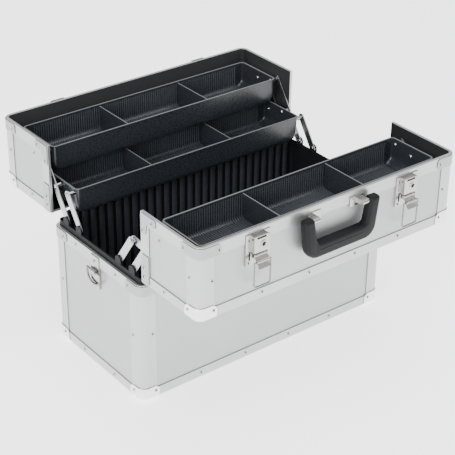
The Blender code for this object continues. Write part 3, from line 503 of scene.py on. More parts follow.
def tray_shell(centre_y, floor_z, rim_z):
    """The tray as one skin: up the outside from the floor, over the rim and down the inside."""
    half_x = TRAY_LENGTH / 2 - TRAY_RIM
    half_y = TRAY_DEPTH / 2 - TRAY_RIM
    rises = sorted({TRAY_END_RADIUS * (1 - cos(radians(a))) for a in range(0, 91, 15)}
                   | {TRAY_FLOOR_RADIUS * (1 - cos(radians(a))) for a in range(0, 91, 18)})
    rings = []
    for rise in rises:
        rings.append((half_x - drawn_in(rise, TRAY_END_RADIUS), half_y - drawn_in(rise, TRAY_FLOOR_RADIUS),
                      floor_z + rise, TRAY_PLAN_RADIUS))
    rings.append((half_x, half_y, rim_z - TRAY_RIM, TRAY_PLAN_RADIUS))
    for z in (rim_z - TRAY_RIM, rim_z):
        rings.append((half_x + TRAY_RIM, half_y + TRAY_RIM, z, TRAY_PLAN_RADIUS + TRAY_RIM))
    inner_x = half_x - TRAY_WALL
    inner_y = half_y - TRAY_WALL
    rings.append((inner_x, inner_y, rim_z, TRAY_PLAN_RADIUS - TRAY_WALL))
    for rise in reversed(rises):
        rings.append((inner_x - drawn_in(rise, TRAY_END_RADIUS - TRAY_WALL),
                      inner_y - drawn_in(rise, TRAY_FLOOR_RADIUS - TRAY_WALL),
                      floor_z + TRAY_WALL + rise, TRAY_PLAN_RADIUS - TRAY_WALL))
    rows = [[(x, centre_y + y, z) for x, y in rounded_ring(hx, hy, r)] for hx, hy, z, r in rings]
    mesh = as_mesh("tray_shell", skin(rows))
    shade(mesh, 40)
    return mesh


def tray_rib(centre_y, floor_z, rim_z):
    """One rib down a long wall, across the floor and up the other wall."""
    half = TRAY_DEPTH / 2 - TRAY_RIM - TRAY_WALL
    radius = TRAY_FLOOR_RADIUS - TRAY_WALL
    floor = floor_z + TRAY_WALL
    path = [(-half, rim_z - TRAY_RIB_RIM_GAP)]
    path += arc((-(half - radius), floor + radius), radius, 180, 90, TRAY_RIB_BEND_STEPS)
    normals = [(1, 0)] + arc((0, 0), 1, 0, 90, TRAY_RIB_BEND_STEPS)
    path += [(-y, z) for y, z in reversed(path)]
    normals += [(-u, v) for u, v in reversed(normals)]
    return ridge([(centre_y + y, z) for y, z in path], normals, TRAY_RIB_WIDTH, TRAY_RIB_HEIGHT)


for tray in ("front_tray", "middle_tray", "top_tray"):
    near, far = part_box(f"{tray}_left_divider")
    centre_y = (near.y + far.y) / 2
    rim_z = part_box(tray)[1].z
    floor_z = rim_z - TRAY_HEIGHT
    show(f"{tray}_shell", tray_shell(centre_y, floor_z, rim_z), moulded_abs, tray, [tray],
         TRAY_EDGE)
    # The ribs carry the paler crest colour: a painted highlight.
    ribs = repeated_along_x(f"{tray}_ribs", tray_rib(centre_y, floor_z, rim_z), TRAY_RIB_COUNT,
                            TRAY_RIB_PITCH, -TRAY_RIB_PITCH * (TRAY_RIB_COUNT - 1) / 2, crest_highlight_abs)
    shade(ribs, 50)
    show(f"{tray}_ribs", ribs, crest_highlight_abs, tray)
    # A thin grey band laid on the rim: a painted highlight.
    rows = []
    for grow, rise in ((HIGHLIGHT_OUTER, 0), (HIGHLIGHT_OUTER, HIGHLIGHT_RISE), (HIGHLIGHT_INNER, HIGHLIGHT_RISE), (HIGHLIGHT_INNER, 0)):
        ring = rounded_ring(TRAY_LENGTH / 2 - TRAY_RIM + grow, TRAY_DEPTH / 2 - TRAY_RIM + grow,
                            TRAY_PLAN_RADIUS + grow)
        rows.append([(x, centre_y + y, rim_z + rise) for x, y in ring])
    rim_highlight_mesh = as_mesh(f"{tray}_rim_highlight", skin(rows, looped=True))
    show(f"{tray}_rim_highlight", rim_highlight_mesh, edge_highlight_abs, tray)
    for end in ("left", "right"):
        node = f"{tray}_{end}_divider"
        finish_node(node, moulded_abs)
        low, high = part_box(node)
        # A thin grey strip along the divider's top: a painted highlight.
        crest = high.z + DIVIDER_HIGHLIGHT
        outline = [(low.x, high.z), (low.x, crest), (high.x, crest), (high.x, high.z)]
        rows = [[(x, y, z) for x, z in outline] for y in (low.y + DIVIDER_HIGHLIGHT, high.y - DIVIDER_HIGHLIGHT)]
        edge = as_mesh(f"{node}_edge", skin(rows))
        show(f"{node}_edge", edge, edge_highlight_abs, tray, (), 0.0001, 1)


# --- Arms, links and couplers -----------------------------------------------------------------------
# Flat zinc-plated steel strips that carry the trays. They are blanked from strip, with round ends, and
# turn on shouldered pins with domed heads.

# Zinc-plated steel strip: light grey, faintly streaked along the rolling.
zinc_strip, shader = new_material("zinc_plated_steel_strip", Metallic=1.0)
streak = noise(shader, 300, 3.0, 0.6, (1, 1, 0.2))
coloured(shader, streak, "#A9ACAF", "#C2C4C6")
roughened(shader, streak, 0.26, 0.42)
embossed(shader, streak, 0.00002, 0.5)

ARM_BODIES = {node: body for body, nodes in frame["record"]["behaviour"]["bodies"].items() for node in nodes
              if "_arm_" in node or "_link_" in node or "_coupler_" in node}
STRIP_EDGE = 0.00025
for node, body in sorted(ARM_BODIES.items()):
    refinish(node, f"{node}_strip", zinc_strip, body, STRIP_EDGE)


# --- Corner fittings --------------------------------------------------------------------------------
# Deep three-sided caps of buffed nickel on the outer corners, and punched aluminium straps round the rim
# corners and plates on the ends beside the hinges. All are riveted through the profiles.

# Buffed nickel over pressed steel, its colour raised near white as a painted highlight: the brightest metal on the
# case, so its corners catch the light.
buffed_nickel_and_highlight, shader = new_material("buffed_nickel_pressing_painted_highlight", Metallic=0.85)
buffing = noise(shader, 90, 2.0)
coloured(shader, buffing, "#EDEDEC", "#F8F8F7")
roughened(shader, buffing, 0.22, 0.34)

# Punched aluminium plate: greyer and duller than the profiles under it, so its outline reads.
punched_plate, shader = new_material("punched_aluminium_plate", Metallic=0.8)
handling = noise(shader, 70, 3.0)
coloured(shader, handling, "#9B9C9E", "#ADAEB0")
roughened(shader, handling, 0.32, 0.48)

CAP_REACH = (0.031, 0.030, 0.021)
CAP_SKIN = 0.0011
CAP_THICKNESS = 0.0008
POST_RADIUS = 0.012
CAP_FOOT_RADIUS = 0.0045
LOBE_RADIUS = 0.009


def axis_edges(bm, axis, where):
    """The edges along one axis whose first vertex passes a test."""
    found = []
    for e in bm.edges:
        along = (e.verts[1].co - e.verts[0].co).normalized()
        if abs(along[axis]) > 0.99 and where(e.verts[0].co):
            found.append(e)
    return found


def corner_cap(corner, inward):
    """A deep cap over a corner, open inwards. It is shaped at the origin and then turned to its corner."""
    a, b, c = CAP_REACH
    bm = bmesh.new()
    bmesh.ops.create_cube(bm, size=1.0)
    for v in bm.verts:
        v.co = Vector(((v.co.x + 0.5) * a, (v.co.y + 0.5) * b, (v.co.z + 0.5) * c))
    lobes = axis_edges(bm, 0, lambda p: p.y > b / 2 and p.z > c / 2)
    lobes += axis_edges(bm, 1, lambda p: p.x > a / 2 and p.z > c / 2)
    lobes += axis_edges(bm, 2, lambda p: p.x > a / 2 and p.y > b / 2)
    bmesh.ops.bevel(bm, geom=lobes, offset=LOBE_RADIUS, segments=5, profile=0.5, affect='EDGES')
    post = axis_edges(bm, 2, lambda p: p.x < 1e-5 and p.y < 1e-5)
    bmesh.ops.bevel(bm, geom=post, offset=POST_RADIUS + CAP_SKIN, segments=8, profile=0.5, affect='EDGES')
    foot = [e for e in bm.edges if all(abs(v.co.z) < 1e-6 for v in e.verts)
            and (e.verts[0].co.x + e.verts[0].co.y < a or e.verts[1].co.x + e.verts[1].co.y < a)
            and any(f.normal.z > -0.9 and max(f.normal) < 0.1 for f in e.link_faces)]
    bmesh.ops.bevel(bm, geom=foot, offset=CAP_FOOT_RADIUS, segments=4, profile=0.5, affect='EDGES')
    bm.normal_update()
    inner = [f for f in bm.faces if max(f.normal) > 0.1]
    bmesh.ops.delete(bm, geom=inner, context='FACES')
    turn = Matrix.Diagonal((*inward, 1.0))
    place = Vector(corner) - Vector(inward) * CAP_SKIN
    bm.transform(Matrix.Translation(place) @ turn)
    if inward[0] * inward[1] * inward[2] < 0:
        bmesh.ops.reverse_faces(bm, faces=bm.faces)
    return bm


def joined(name, parts):
    """Several shapes in one mesh."""
    whole = bmesh.new()
    for bm in parts:
        piece = as_mesh(name, bm)
        whole.from_mesh(piece)
        bpy.data.meshes.remove(piece)
    return as_mesh(name, whole)


def pressed(name, mesh, body, thickness=CAP_THICKNESS, material=nickel):
    """A pressing: a skin given its thickness inwards, with eased edges."""
    shade(mesh)
    made = show(name, mesh, material, body)
    wall = made.modifiers.new("sheet_thickness", 'SOLIDIFY')
    wall.thickness = thickness
    wall.offset = -1
    ease(made, 0.0002, angle=40)


STRAP_REACH = 0.036
STRAP_HEIGHT = 0.016
STRAP_RIM_DROP = 0.0016
STRAP_ROUND = 0.005
PLATE_THICKNESS = 0.0007
PLATE_MARGIN = 0.001


def corner_strap(corner, inward, top):
    """A strap round an upright rounded corner, with rounded ends."""
    radius = POST_RADIUS + CAP_SKIN
    bend = radius * pi / 2
    straight = STRAP_REACH - POST_RADIUS
    total = 2 * straight + bend
    stations = [STRAP_ROUND * (1 - cos(radians(a))) for a in range(0, 91, 18)]
    stations += [straight + bend * i / 8 for i in range(9)]
    stations += [total - u for u in reversed(stations[:6])]
    bm = bmesh.new()
    rows = []
    for u in stations:
        if u < straight:
            x, y = radius + straight - u, 0.0
        elif u > straight + bend:
            x, y = 0.0, radius + u - straight - bend
        else:
            turn = (u - straight) / radius
            x, y = radius - radius * sin(turn), radius - radius * cos(turn)
        edge = min(u, total - u)
        half = STRAP_HEIGHT / 2
        if edge < STRAP_ROUND:
            half += -STRAP_ROUND + sqrt(max(0.0, STRAP_ROUND ** 2 - (STRAP_ROUND - edge) ** 2))
        place = Vector((corner[0] + inward[0] * (x - CAP_SKIN), corner[1] + inward[1] * (y - CAP_SKIN), 0))
        middle = top - STRAP_RIM_DROP - STRAP_HEIGHT / 2
        rows.append([bm.verts.new((place.x, place.y, middle - half)),
                     bm.verts.new((place.x, place.y, middle + half))])
    for low, high in zip(rows, rows[1:]):
        bm.faces.new((low[0], high[0], high[1], low[1]))
    bm.normal_update()
    outward = Vector((-inward[0], -inward[1], 0))
    if sum((f.normal.dot(outward) for f in bm.faces)) < 0:
        bmesh.ops.reverse_faces(bm, faces=bm.faces)
    return bm


def face_plate(outline, origin, across, up, corner_radius=0.003, rise=CAP_SKIN):
    """A flat plate skin from an outline of (u, v) points, facing across x up, with rounded corners."""
    bm = bmesh.new()
    out = Vector(across).cross(Vector(up))
    base = Vector(origin) + out * rise
    verts = [bm.verts.new(base + Vector(across) * u + Vector(up) * v) for u, v in outline]
    face = bm.faces.new(verts)
    if corner_radius:
        bmesh.ops.bevel(bm, geom=verts, offset=corner_radius, segments=4, profile=0.5, affect='VERTICES')
    bm.normal_update()
    if sum((f.normal.dot(out) for f in bm.faces)) < 0:
        bmesh.ops.reverse_faces(bm, faces=bm.faces)
    return bm


END_PLATE = ((0, 0), (0.017, 0), (0.017, 0.046), (0, 0.046))
ELBOW_PLATE = ((0, 0), (0, -0.031), (0.011, -0.031), (0.014, -0.014), (0.034, -0.012), (0.034, 0))
frame_boxes = {body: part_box(f"{body}_frame") for body in ("base", "front_half", "rear_half")}
for body, (low, high) in frame_boxes.items():
    caps, straps, plates = [], [], []
    faces = {"base": (low.y, high.y), "front_half": (low.y,), "rear_half": (high.y,)}[body]
    for side in (-1, 1):
        x = side * high.x
        for y in faces:
            inward_y = 1 if y < 0 else -1
            caps.append(corner_cap((x, y, low.z), (-side, inward_y, 1)))
            straps.append(corner_strap((x, y, low.z), (-side, inward_y, 1), high.z))
        if body != "base":
            front = -1 if body == "front_half" else 1
            rim_y = high.y if front < 0 else low.y
            # u runs outwards from the rim, and the plates face away from the middle of the case
            for outline, z in ((END_PLATE, low.z + PLATE_MARGIN), (ELBOW_PLATE, high.z - PLATE_MARGIN)):
                points = [(side * front * u, v) for u, v in outline]
                origin = (x, rim_y + front * PLATE_MARGIN, z)
                plates.append(face_plate(points, origin, (0, side, 0), (0, 0, 1)))
    # The caps' near-white colour is partly a painted highlight.
    pressed(f"{body}_corner_caps", joined("caps", caps), body, material=buffed_nickel_and_highlight)
    pressed(f"{body}_rim_straps", joined("straps", straps), body, PLATE_THICKNESS, punched_plate)
    if plates:
        pressed(f"{body}_end_plates", joined("plates", plates), body, PLATE_THICKNESS, punched_plate)


# --- Rivets and screws ------------------------------------------------------------------------------
# Aluminium blind rivets with a dark hollow centre hold the profiles, corners and fittings, and domed
# nickel screws hold the trays to their arms. All stand square to the sheet that they go through.

# Blind rivet heads: soft bright aluminium, slightly scuffed by the setting tool.
rivet_metal, shader = new_material("set_aluminium_rivet", Metallic=0.9)
scuffs = noise(shader, 900, 2.0)
coloured(shader, scuffs, "#9B9C9E", "#BFC0C2")
roughened(shader, scuffs, 0.3, 0.45)

# Each head's hollow is a dark plug standing through the dome: a painted shadow.
HOLLOW_LIFT = 0.56
fastener_tree = bpy.data.node_groups.new("fasteners", 'GeometryNodeTree')
fastener_inputs = {}
for label, kind in (("Places", 'NodeSocketGeometry'), ("Head Radius", 'NodeSocketFloat'),
                    ("Head Height", 'NodeSocketFloat'), ("Hollow Radius", 'NodeSocketFloat'),
                    ("Head Finish", 'NodeSocketMaterial'), ("Hollow Finish", 'NodeSocketMaterial')):
    socket = fastener_tree.interface.new_socket(label, in_out='INPUT', socket_type=kind)
    fastener_inputs[label] = socket.identifier
fastener_tree.interface.new_socket("Geometry", in_out='OUTPUT', socket_type='NodeSocketGeometry')
step = partial(add_node, fastener_tree)
given = step("NodeGroupInput").outputs
facing = step("GeometryNodeInputNamedAttribute", {"Name": "facing"}, data_type='FLOAT_VECTOR')
squared = step("FunctionNodeAlignRotationToVector", {"Vector": facing.outputs["Attribute"]}, axis='Z')
ball = step("GeometryNodeMeshUVSphere", {"Segments": 14, "Rings": 8, "Radius": given["Head Radius"]})
squash = step("ShaderNodeMath", {0: given["Head Height"], 1: given["Head Radius"]}, operation='DIVIDE')
flat = step("ShaderNodeCombineXYZ", {"X": 1.0, "Y": 1.0, "Z": squash.outputs[0]})
dome = step("GeometryNodeTransform", {"Geometry": ball.outputs["Mesh"], "Scale": flat.outputs["Vector"]})
plug = step("GeometryNodeMeshCylinder", {"Vertices": 10, "Radius": given["Hollow Radius"],
                                         "Depth": given["Head Height"]})
lift = step("ShaderNodeMath", {0: given["Head Height"], 1: HOLLOW_LIFT}, operation='MULTIPLY')
above = step("ShaderNodeCombineXYZ", {"Z": lift.outputs[0]})
raised = step("GeometryNodeTransform", {"Geometry": plug.outputs["Mesh"],
                                        "Translation": above.outputs["Vector"]})
marked = step("GeometryNodeStoreNamedAttribute", {"Geometry": raised.outputs["Geometry"], "Name": "hollow",
                                                  "Value": True}, data_type='BOOLEAN', domain='FACE')
both = step("GeometryNodeJoinGeometry")
for part in (dome, marked):
    fastener_tree.links.new(part.outputs["Geometry"], both.inputs["Geometry"])
placed = step("GeometryNodeInstanceOnPoints", {"Points": given["Places"],
                                               "Instance": both.outputs["Geometry"],
                                               "Rotation": squared.outputs["Rotation"]})
real = step("GeometryNodeRealizeInstances", {"Geometry": placed.outputs["Instances"]})
first = step("GeometryNodeSetMaterial", {"Geometry": real.outputs["Geometry"],
                                         "Material": given["Head Finish"]})
hollow = step("GeometryNodeInputNamedAttribute", {"Name": "hollow"}, data_type='BOOLEAN')
second = step("GeometryNodeSetMaterial", {"Geometry": first.outputs["Geometry"],
                                          "Selection": hollow.outputs["Attribute"],
                                          "Material": given["Hollow Finish"]})
step("NodeGroupOutput", {"Geometry": second.outputs["Geometry"]})


def fasteners(name, body, places, head, finish):
    """Rivets or screws on one body, each at a point and facing a direction."""
    mesh = bpy.data.meshes.new(name)
    mesh.from_pydata([p for p, _ in places], [], [])
    attribute = mesh.attributes.new("facing", 'FLOAT_VECTOR', 'POINT')
    for value, (_, direction) in zip(attribute.data, places):
        value.vector = direction
    given = dict(zip(("Head Radius", "Head Height", "Hollow Radius"), head))
    given.update({"Head Finish": finish, "Hollow Finish": dark_hollow})
    sizes = {fastener_inputs[label]: value for label, value in given.items()}
    made = plain_mesh(name, mesh, fastener_tree, sizes)
    made.name = name
    shade(made, 45)
    thing = bpy.data.objects.new(name, made)
    bpy.context.scene.collection.objects.link(thing)
    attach(thing, body)


# Radius and height of each kind of head, and the radius of its hollow.
RIVET = (0.0026, 0.0011, 0.0013)
HINGE_RIVET = (0.0022, 0.0010, 0.0010)
RING_RIVET = (0.0028, 0.0012, 0.0014)
LATCH_RIVET = (0.0024, 0.0011, 0.0012)
ARM_FOOT_RIVET = (0.0042, 0.0019, 0.0010)
SCREW = (0.0036, 0.0022, 0.0010)
PIN_HEAD = (0.0036, 0.0012, 0.0008)
PANEL_SET_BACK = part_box("front_half_right_panel")[1].x - frame_boxes["front_half"][1].x


def on_end(side, y, z, rise=0.0):
    """A place on an end of the case, and the way it faces."""
    return (side * (frame_boxes["base"][1].x + rise), y, z), (side, 0, 0)


def on_side(front, x, face_y, z, rise=0.0):
    """A place on a long side of the case, and the way it faces."""
    return (x, front * (face_y + rise), z), (0, front, 0)


base_high = frame_boxes["base"][1]
spots = []
for side in (-1, 1):
    for front in (-1, 1):
        spots += [
            on_end(side, front * 0.052, base_high.z - 0.0085),
            on_end(side, front * 0.0835, base_high.z - 0.0095, CAP_SKIN),
            on_end(side, front * 0.093, 0.107),
            on_end(side, front * 0.093, 0.0125, CAP_SKIN),
            on_end(side, front * 0.040, 0.0085),
            on_side(front, side * 0.2105, base_high.y, 0.111),
            on_side(front, side * 0.2070, base_high.y, 0.0125, CAP_SKIN),
            on_side(front, side * 0.2010, base_high.y, base_high.z - 0.0095, CAP_SKIN),
            on_side(front, side * 0.042, base_high.y, 0.0085),
            on_side(front, side * 0.1255, base_high.y, 0.0085),
        ]
fasteners("base_rivets", "base", spots, RIVET, rivet_metal)

for body, front in (("front_half", -1), ("rear_half", 1)):
    low, high = frame_boxes[body]
    face_y = max(abs(low.y), abs(high.y))
    spots = []
    for side in (-1, 1):
        spots += [on_side(front, side * x, face_y, z, rise) for x, z, rise in (
            (0.042, low.z + 0.0095, 0.0), (0.1245, low.z + 0.0095, 0.0), (0.2085, 0.265, 0.0),
            (0.2060, low.z + 0.0125, CAP_SKIN), (0.1985, high.z - 0.0100, CAP_SKIN))]
        spots += [on_end(side, front * y, z, rise) for y, z, rise in (
            (0.1585, 0.2910, PANEL_SET_BACK), (0.1700, 0.2180, 0.0), (0.2265, 0.2690, 0.0),
            (0.2235, 0.2195, CAP_SKIN), (0.2155, high.z - 0.0100, CAP_SKIN), (0.1235, 0.2920, CAP_SKIN),
            (0.1450, 0.3105, CAP_SKIN), (0.1245, 0.2340, CAP_SKIN), (0.1245, 0.2200, CAP_SKIN))]
    fasteners(f"{body}_rivets", body, spots, RIVET, rivet_metal)

PIN_GAP = 0.0003
PIN_PLACES = {joint["name"]: Vector(joint["pos_m"]) for joint in frame["joints"]}
arm_inner_x, arm_outer_x = (corner.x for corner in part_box("front_long_arm_right"))
tray_inner_x = TRAY_LENGTH / 2 - TRAY_RIM - TRAY_WALL
rear_step = PIN_PLACES["top_tray_pivot"] - PIN_PLACES["rear_long_arm_pivot"]
PINS = {
    "middle_tray": [PIN_PLACES["middle_tray_pivot"], PIN_PLACES["rear_upper_link_pivot"],
                    PIN_PLACES["rear_short_arm_pivot"] + rear_step / 2],
    "top_tray": [PIN_PLACES["top_tray_pivot"], PIN_PLACES["rear_upper_link_pivot"] + rear_step / 2],
    "front_tray": [PIN_PLACES["front_tray_pivot"],
                   PIN_PLACES["front_upper_link_pivot"] + Vector((0, -rear_step.y / 2, rear_step.z / 2))],
}
for body, pins in PINS.items():
    inside = [((side * tray_inner_x, p.y, p.z), (-side, 0, 0)) for side in (-1, 1) for p in pins]
    outside = [((side * (arm_outer_x + PIN_GAP), p.y, p.z), (side, 0, 0)) for side in (-1, 1) for p in pins]
    fasteners(f"{body}_screws", body, inside, SCREW, nickel)
    fasteners(f"{body}_pin_heads", body, outside, PIN_HEAD, nickel)
foot_pins = [PIN_PLACES[name] for name in ("front_long_arm_pivot", "front_short_arm_pivot",
                                           "rear_long_arm_pivot", "rear_short_arm_pivot")]
fasteners("arm_foot_rivets", "base",
          [((side * (arm_inner_x - PIN_GAP), p.y, p.z), (-side, 0, 0))
           for side in (-1, 1) for p in foot_pins],
          ARM_FOOT_RIVET, nickel)


def turned(profile, place, along, steps=20):
    """A closed turned shape from (distance along, radius) points, about an axis through a place."""
    rows = [[(radius * cos(2 * pi * i / steps), radius * sin(2 * pi * i / steps), height)
             for i in range(steps)] for height, radius in profile]
    bm = skin(rows)
    turn = Vector((0, 0, 1)).rotation_difference(Vector(along)).to_matrix().to_4x4()
    bm.transform(Matrix.Translation(place) @ turn)
    return bm


tray_outer_x = TRAY_LENGTH / 2 - TRAY_RIM
shoulder = arm_inner_x - PIN_GAP - tray_outer_x
COLLAR = ((-0.001, 0.0034), (shoulder - 0.0004, 0.0034), (shoulder, 0.0030), (shoulder, 0.0019),
          (arm_outer_x + 0.0004 - tray_outer_x, 0.0019))
for body, pins in PINS.items():
    parts = [turned(COLLAR, (side * tray_outer_x, p.y, p.z), (side, 0, 0)) for side in (-1, 1) for p in pins]
    collars = joined("collars", parts)
    shade(collars)
    show(f"{body}_shoulder_pins", collars, nickel, body)


# --- Long hinges, strap rings and feet --------------------------------------------------------------
# Offset hinges of plated strip run along both sides, a riveted plate on each end holds a wire D-ring,
# and four turned rubber feet are riveted to the board in the underside.

# Nickel-plated wire: darker than the pressings because its round section mirrors the whole room.
plated_wire, shader = new_material("nickel_plated_wire", Metallic=1.0)
drawing = noise(shader, 300, 2.0)
coloured(shader, drawing, "#6F6E6C", "#8D8C8A")
roughened(shader, drawing, 0.18, 0.3)

for name in ("base_front_hinge_leaf", "base_rear_hinge_leaf", "front_half_hinge_leaf", "rear_half_hinge_leaf",
             "left_ring_plate", "right_ring_plate", "left_strap_ring", "right_strap_ring"):
    owner = next(body for body, nodes in frame["record"]["behaviour"]["bodies"].items() if name in nodes)
    finish, edge = (plated_wire, 0.0) if name.endswith("strap_ring") else (nickel, STRIP_EDGE)
    refinish(name, f"{name}_fitting", finish, owner, edge, angle=40)

STRIP_THICKNESS = 0.0015
HINGE_RIVETS = [-0.1775 + 0.0710 * i for i in range(6)]
for front, name in ((-1, "base_front_hinge_leaf"), (1, "base_rear_hinge_leaf")):
    rivet_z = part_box(name)[0].z + 0.009
    spots = [((x, front * (base_high.y + STRIP_THICKNESS), rivet_z), (0, front, 0)) for x in HINGE_RIVETS]
    fasteners(f"{name}_rivets", "base", spots, HINGE_RIVET, rivet_metal)
ring_low, ring_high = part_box("right_ring_plate")
spots = [((side * (base_high.x + STRIP_THICKNESS), 0, z), (side, 0, 0)) for side in (-1, 1)
         for z in (ring_high.z - 0.0080, ring_low.z + 0.0060)]
fasteners("ring_plate_rivets", "base", spots, RING_RIVET, rivet_metal)

# Moulded rubber: soft black with a dusty bloom.
moulded_rubber, shader = new_material("moulded_black_rubber", Roughness=0.75)
bloom = noise(shader, 250, 2.0)
coloured(shader, bloom, "#1A1A1B", "#2A2A2A")

# Hardboard: dark brown-grey, slightly rough and fibrous.
hardboard, shader = new_material("dark_pressed_hardboard", Roughness=0.7)
fibres = noise(shader, 400, 4.0, 0.6, (1, 3, 1))
coloured(shader, fibres, "#2B2A28", "#3A3836")
embossed(shader, fibres, 0.0001, 0.5)
finish_node("base_floor_panel", hardboard)

FOOT_PLACE = frame["record"]["mounts"][1]["pos_m"]
FOOT_SINK = 0.00002
FOOT_PROFILE = ((0.0062, 0.0074), (0.0015, 0.0082), (0.0004, 0.0078), (0.0, 0.0070), (0.0, 0.0030),
                (0.0014, 0.0026))
feet = [turned(FOOT_PROFILE, (sx * FOOT_PLACE[0], sy * FOOT_PLACE[1], FOOT_PLACE[2] - FOOT_SINK), (0, 0, 1))
        for sx in (-1, 1) for sy in (-1, 1)]
foot_mesh = joined("rubber_feet", feet)
shade(foot_mesh)
show("rubber_feet", foot_mesh, moulded_rubber, "base")


# --- Carrying handle --------------------------------------------------------------------------------
# A deep U moulded in black polypropylene, with softly rounded edges and a raised ridge along the grip,
# hung on two plated brackets riveted to the front half's face.

# Moulded polypropylene: dull charcoal with a fine spark-eroded grain of about 0.7 mm.
handle_plastic, shader = new_material("grained_black_polypropylene", IOR=1.49, Specular_IOR_Level=0.2)
grain = noise(shader, 1500, 2.0)
patch = noise(shader, 60, 2.0)
coloured(shader, patch, "#090A0B", "#101113")
roughened(shader, grain, 0.48, 0.64)
embossed(shader, grain, 0.00004, 0.5)

handle_low, handle_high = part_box("carry_handle")
GRIP_HEIGHT = 0.0230
HANDLE_ARM = 0.0175
HANDLE_TAPER = 0.008
HANDLE_ROUND = 0.0048
OUTER_CORNER = 0.0200
INNER_CORNER = 0.0060
SHOULDER = 0.0045


def fillet(points, radii, steps=6):
    """A closed outline whose corners are rounded by the given radii."""
    rounded = []
    for i, (point, radius) in enumerate(zip(points, radii)):
        here = Vector(point)
        before = (Vector(points[i - 1]) - here).normalized()
        after = (Vector(points[(i + 1) % len(points)]) - here).normalized()
        half = before.angle(after) / 2
        reach = radius / max(0.05, abs(sin(half) / cos(half)))
        first, last = here + before * reach, here + after * reach
        centre = here + (before + after).normalized() * radius / sin(half)
        a, b = first - centre, last - centre
        for k in range(steps + 1):
            t = k / steps
            spoke = (a * (1 - t) + b * t)
            rounded.append(centre + spoke.normalized() * radius)
    return rounded


span_x = handle_high.x
top, foot = handle_high.z, handle_low.z
foot_x = span_x - HANDLE_TAPER
inner_floor = foot + GRIP_HEIGHT
right = [(span_x - HANDLE_ARM, top), (span_x, top), (foot_x, foot)]
left = [(-x, z) for x, z in reversed(right)]
inner_x = foot_x - HANDLE_ARM + 0.001
outline = right + left + [(-inner_x, inner_floor), (inner_x, inner_floor)]
radii = [SHOULDER, SHOULDER, OUTER_CORNER, OUTER_CORNER, SHOULDER, SHOULDER, INNER_CORNER, INNER_CORNER]
points = fillet(outline, radii)
front_y, back_y = handle_low.y, handle_high.y
levels = [HANDLE_ROUND * (1 - cos(radians(a))) for a in (0, 22.5, 45, 67.5, 90)]
insets = [(d, HANDLE_ROUND - sqrt(max(0.0, HANDLE_ROUND ** 2 - (HANDLE_ROUND - d) ** 2))) for d in levels]
sections = [(front_y + d, inset) for d, inset in insets]
sections += [(back_y - d, inset) for d, inset in reversed(insets)]
count = len(points)
area = sum(points[i - 1].x * points[i].y - points[i].x * points[i - 1].y for i in range(count))
sign = 1 if area > 0 else -1
rows = []
for y, inset in sections:
    row = []
    for i, point in enumerate(points):
        along = (points[(i + 1) % count] - points[i - 1]).normalized()
        place = point + Vector((-along.y, along.x)) * sign * inset
        row.append((place.x, y, place.y))
    rows.append(row)
bm = skin(rows, concave=True)
bmesh.ops.remove_doubles(bm, verts=bm.verts, dist=1e-6)
bmesh.ops.recalc_face_normals(bm, faces=bm.faces)
handle_mesh = as_mesh("handle_grip", bm)
shade(handle_mesh, 50)
show("handle_grip", handle_mesh, handle_plastic, "carry_handle", ["carry_handle"])

RIDGE_HEIGHT = 0.0008
RIDGE_WIDTH = 0.0035
RIDGE_HALF_LENGTH = 0.044
RIDGE_RUN_OUT = 0.006
RIDGE_STEPS = 22
RIDGE_SECTION = ((-0.5, -0.6), (-0.3, 0.7), (0, 1.0), (0.3, 0.7), (0.5, -0.6))
ridge_z = foot + GRIP_HEIGHT * 0.52
rows = []
for i in range(RIDGE_STEPS + 1):
    x = -RIDGE_HALF_LENGTH + 2 * RIDGE_HALF_LENGTH * i / RIDGE_STEPS
    height = RIDGE_HEIGHT * min(1.0, (RIDGE_HALF_LENGTH - abs(x)) / RIDGE_RUN_OUT + 0.05)
    rows.append([(x, front_y + 0.0004 - height * out, ridge_z + RIDGE_WIDTH * offset)
                 for offset, out in RIDGE_SECTION])
ridge_mesh = as_mesh("handle_ridge", skin(rows))
shade(ridge_mesh, 60)
show("handle_ridge", ridge_mesh, handle_plastic, "carry_handle")

for side in ("left", "right"):
    refinish(f"{side}_handle_bracket", f"{side}_handle_bracket_fitting", nickel, "front_half",
             0.0007, 3, 40)


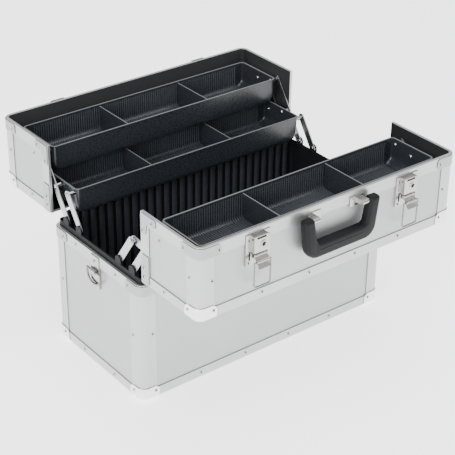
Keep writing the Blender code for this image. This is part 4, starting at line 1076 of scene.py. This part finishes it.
# --- Latches and catches ----------------------------------------------------------------------------
# Draw latches of plated pressings: a plate with a lock housing, a sprung lever and a wire bail. The
# other half has a hooked catch opposite each of them.

for end in ("left", "right"):
    for kind, body, finish, edge in (("latch_plate", "front_half", nickel, 0.0006),
                                     ("latch_lever", f"{end}_latch_lever", nickel, 0.0003),
                                     ("latch_bail", f"{end}_latch_bail", plated_wire, 0.0),
                                     ("catch", "rear_half", nickel, 0.0003)):
        refinish(f"{end}_{kind}", f"{end}_{kind}_pressing", finish, body, edge, angle=40)


def slot_face(half_width, half_height, place):
    """The dark face of a slot in a fitting at the front of the case: a painted shadow."""
    outline = [(u * half_width, v * half_height) for u, v in ((-1, -1), (1, -1), (1, 1), (-1, 1))]
    return face_plate(outline, place, (1, 0, 0), (0, 0, 1), 0.0004, 0.0001)


LOCK_OFFSET = 0.003
LOCK_DROP = 0.0130
LOCK_RING = ((-0.0002, 0.0058), (0.0008, 0.0056), (0.0012, 0.0048), (0.0012, 0.0034), (0.0004, 0.0030))
KEYHOLE = ((-0.0002, 0.0034), (0.0010, 0.0034))
plate_y = frame_boxes["front_half"][0].y - STRIP_THICKNESS
for end in ("left", "right"):
    low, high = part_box(f"{end}_latch_plate")
    x = (low.x + high.x) / 2
    lock_top = high.z - 0.002
    lock = (x + LOCK_OFFSET, low.y, lock_top - LOCK_DROP)
    # The slots and the keyhole are dark faces: painted shadow.
    openings = [slot_face(0.0078, 0.0015, (x, low.y, lock_top - 0.0026)), turned(KEYHOLE, lock, (0, -1, 0)),
                slot_face(0.0013, 0.0062, (x - 0.0145, plate_y, low.z + 0.0135))]
    show(f"{end}_latch_openings", joined(f"{end}_latch_openings", openings), dark_hollow, "front_half")
    ring_mesh = as_mesh(f"{end}_lock_ring", turned(LOCK_RING, lock, (0, -1, 0)))
    shade(ring_mesh)
    show(f"{end}_lock_ring", ring_mesh, nickel, "front_half")
    rivet_spots = [((x + u * 0.0165, plate_y, z), (0, -1, 0)) for u in (-1, 1)
                   for z in (high.z - 0.008, low.z + 0.004)]
    fasteners(f"{end}_latch_rivets", "front_half", rivet_spots, LATCH_RIVET, rivet_metal)
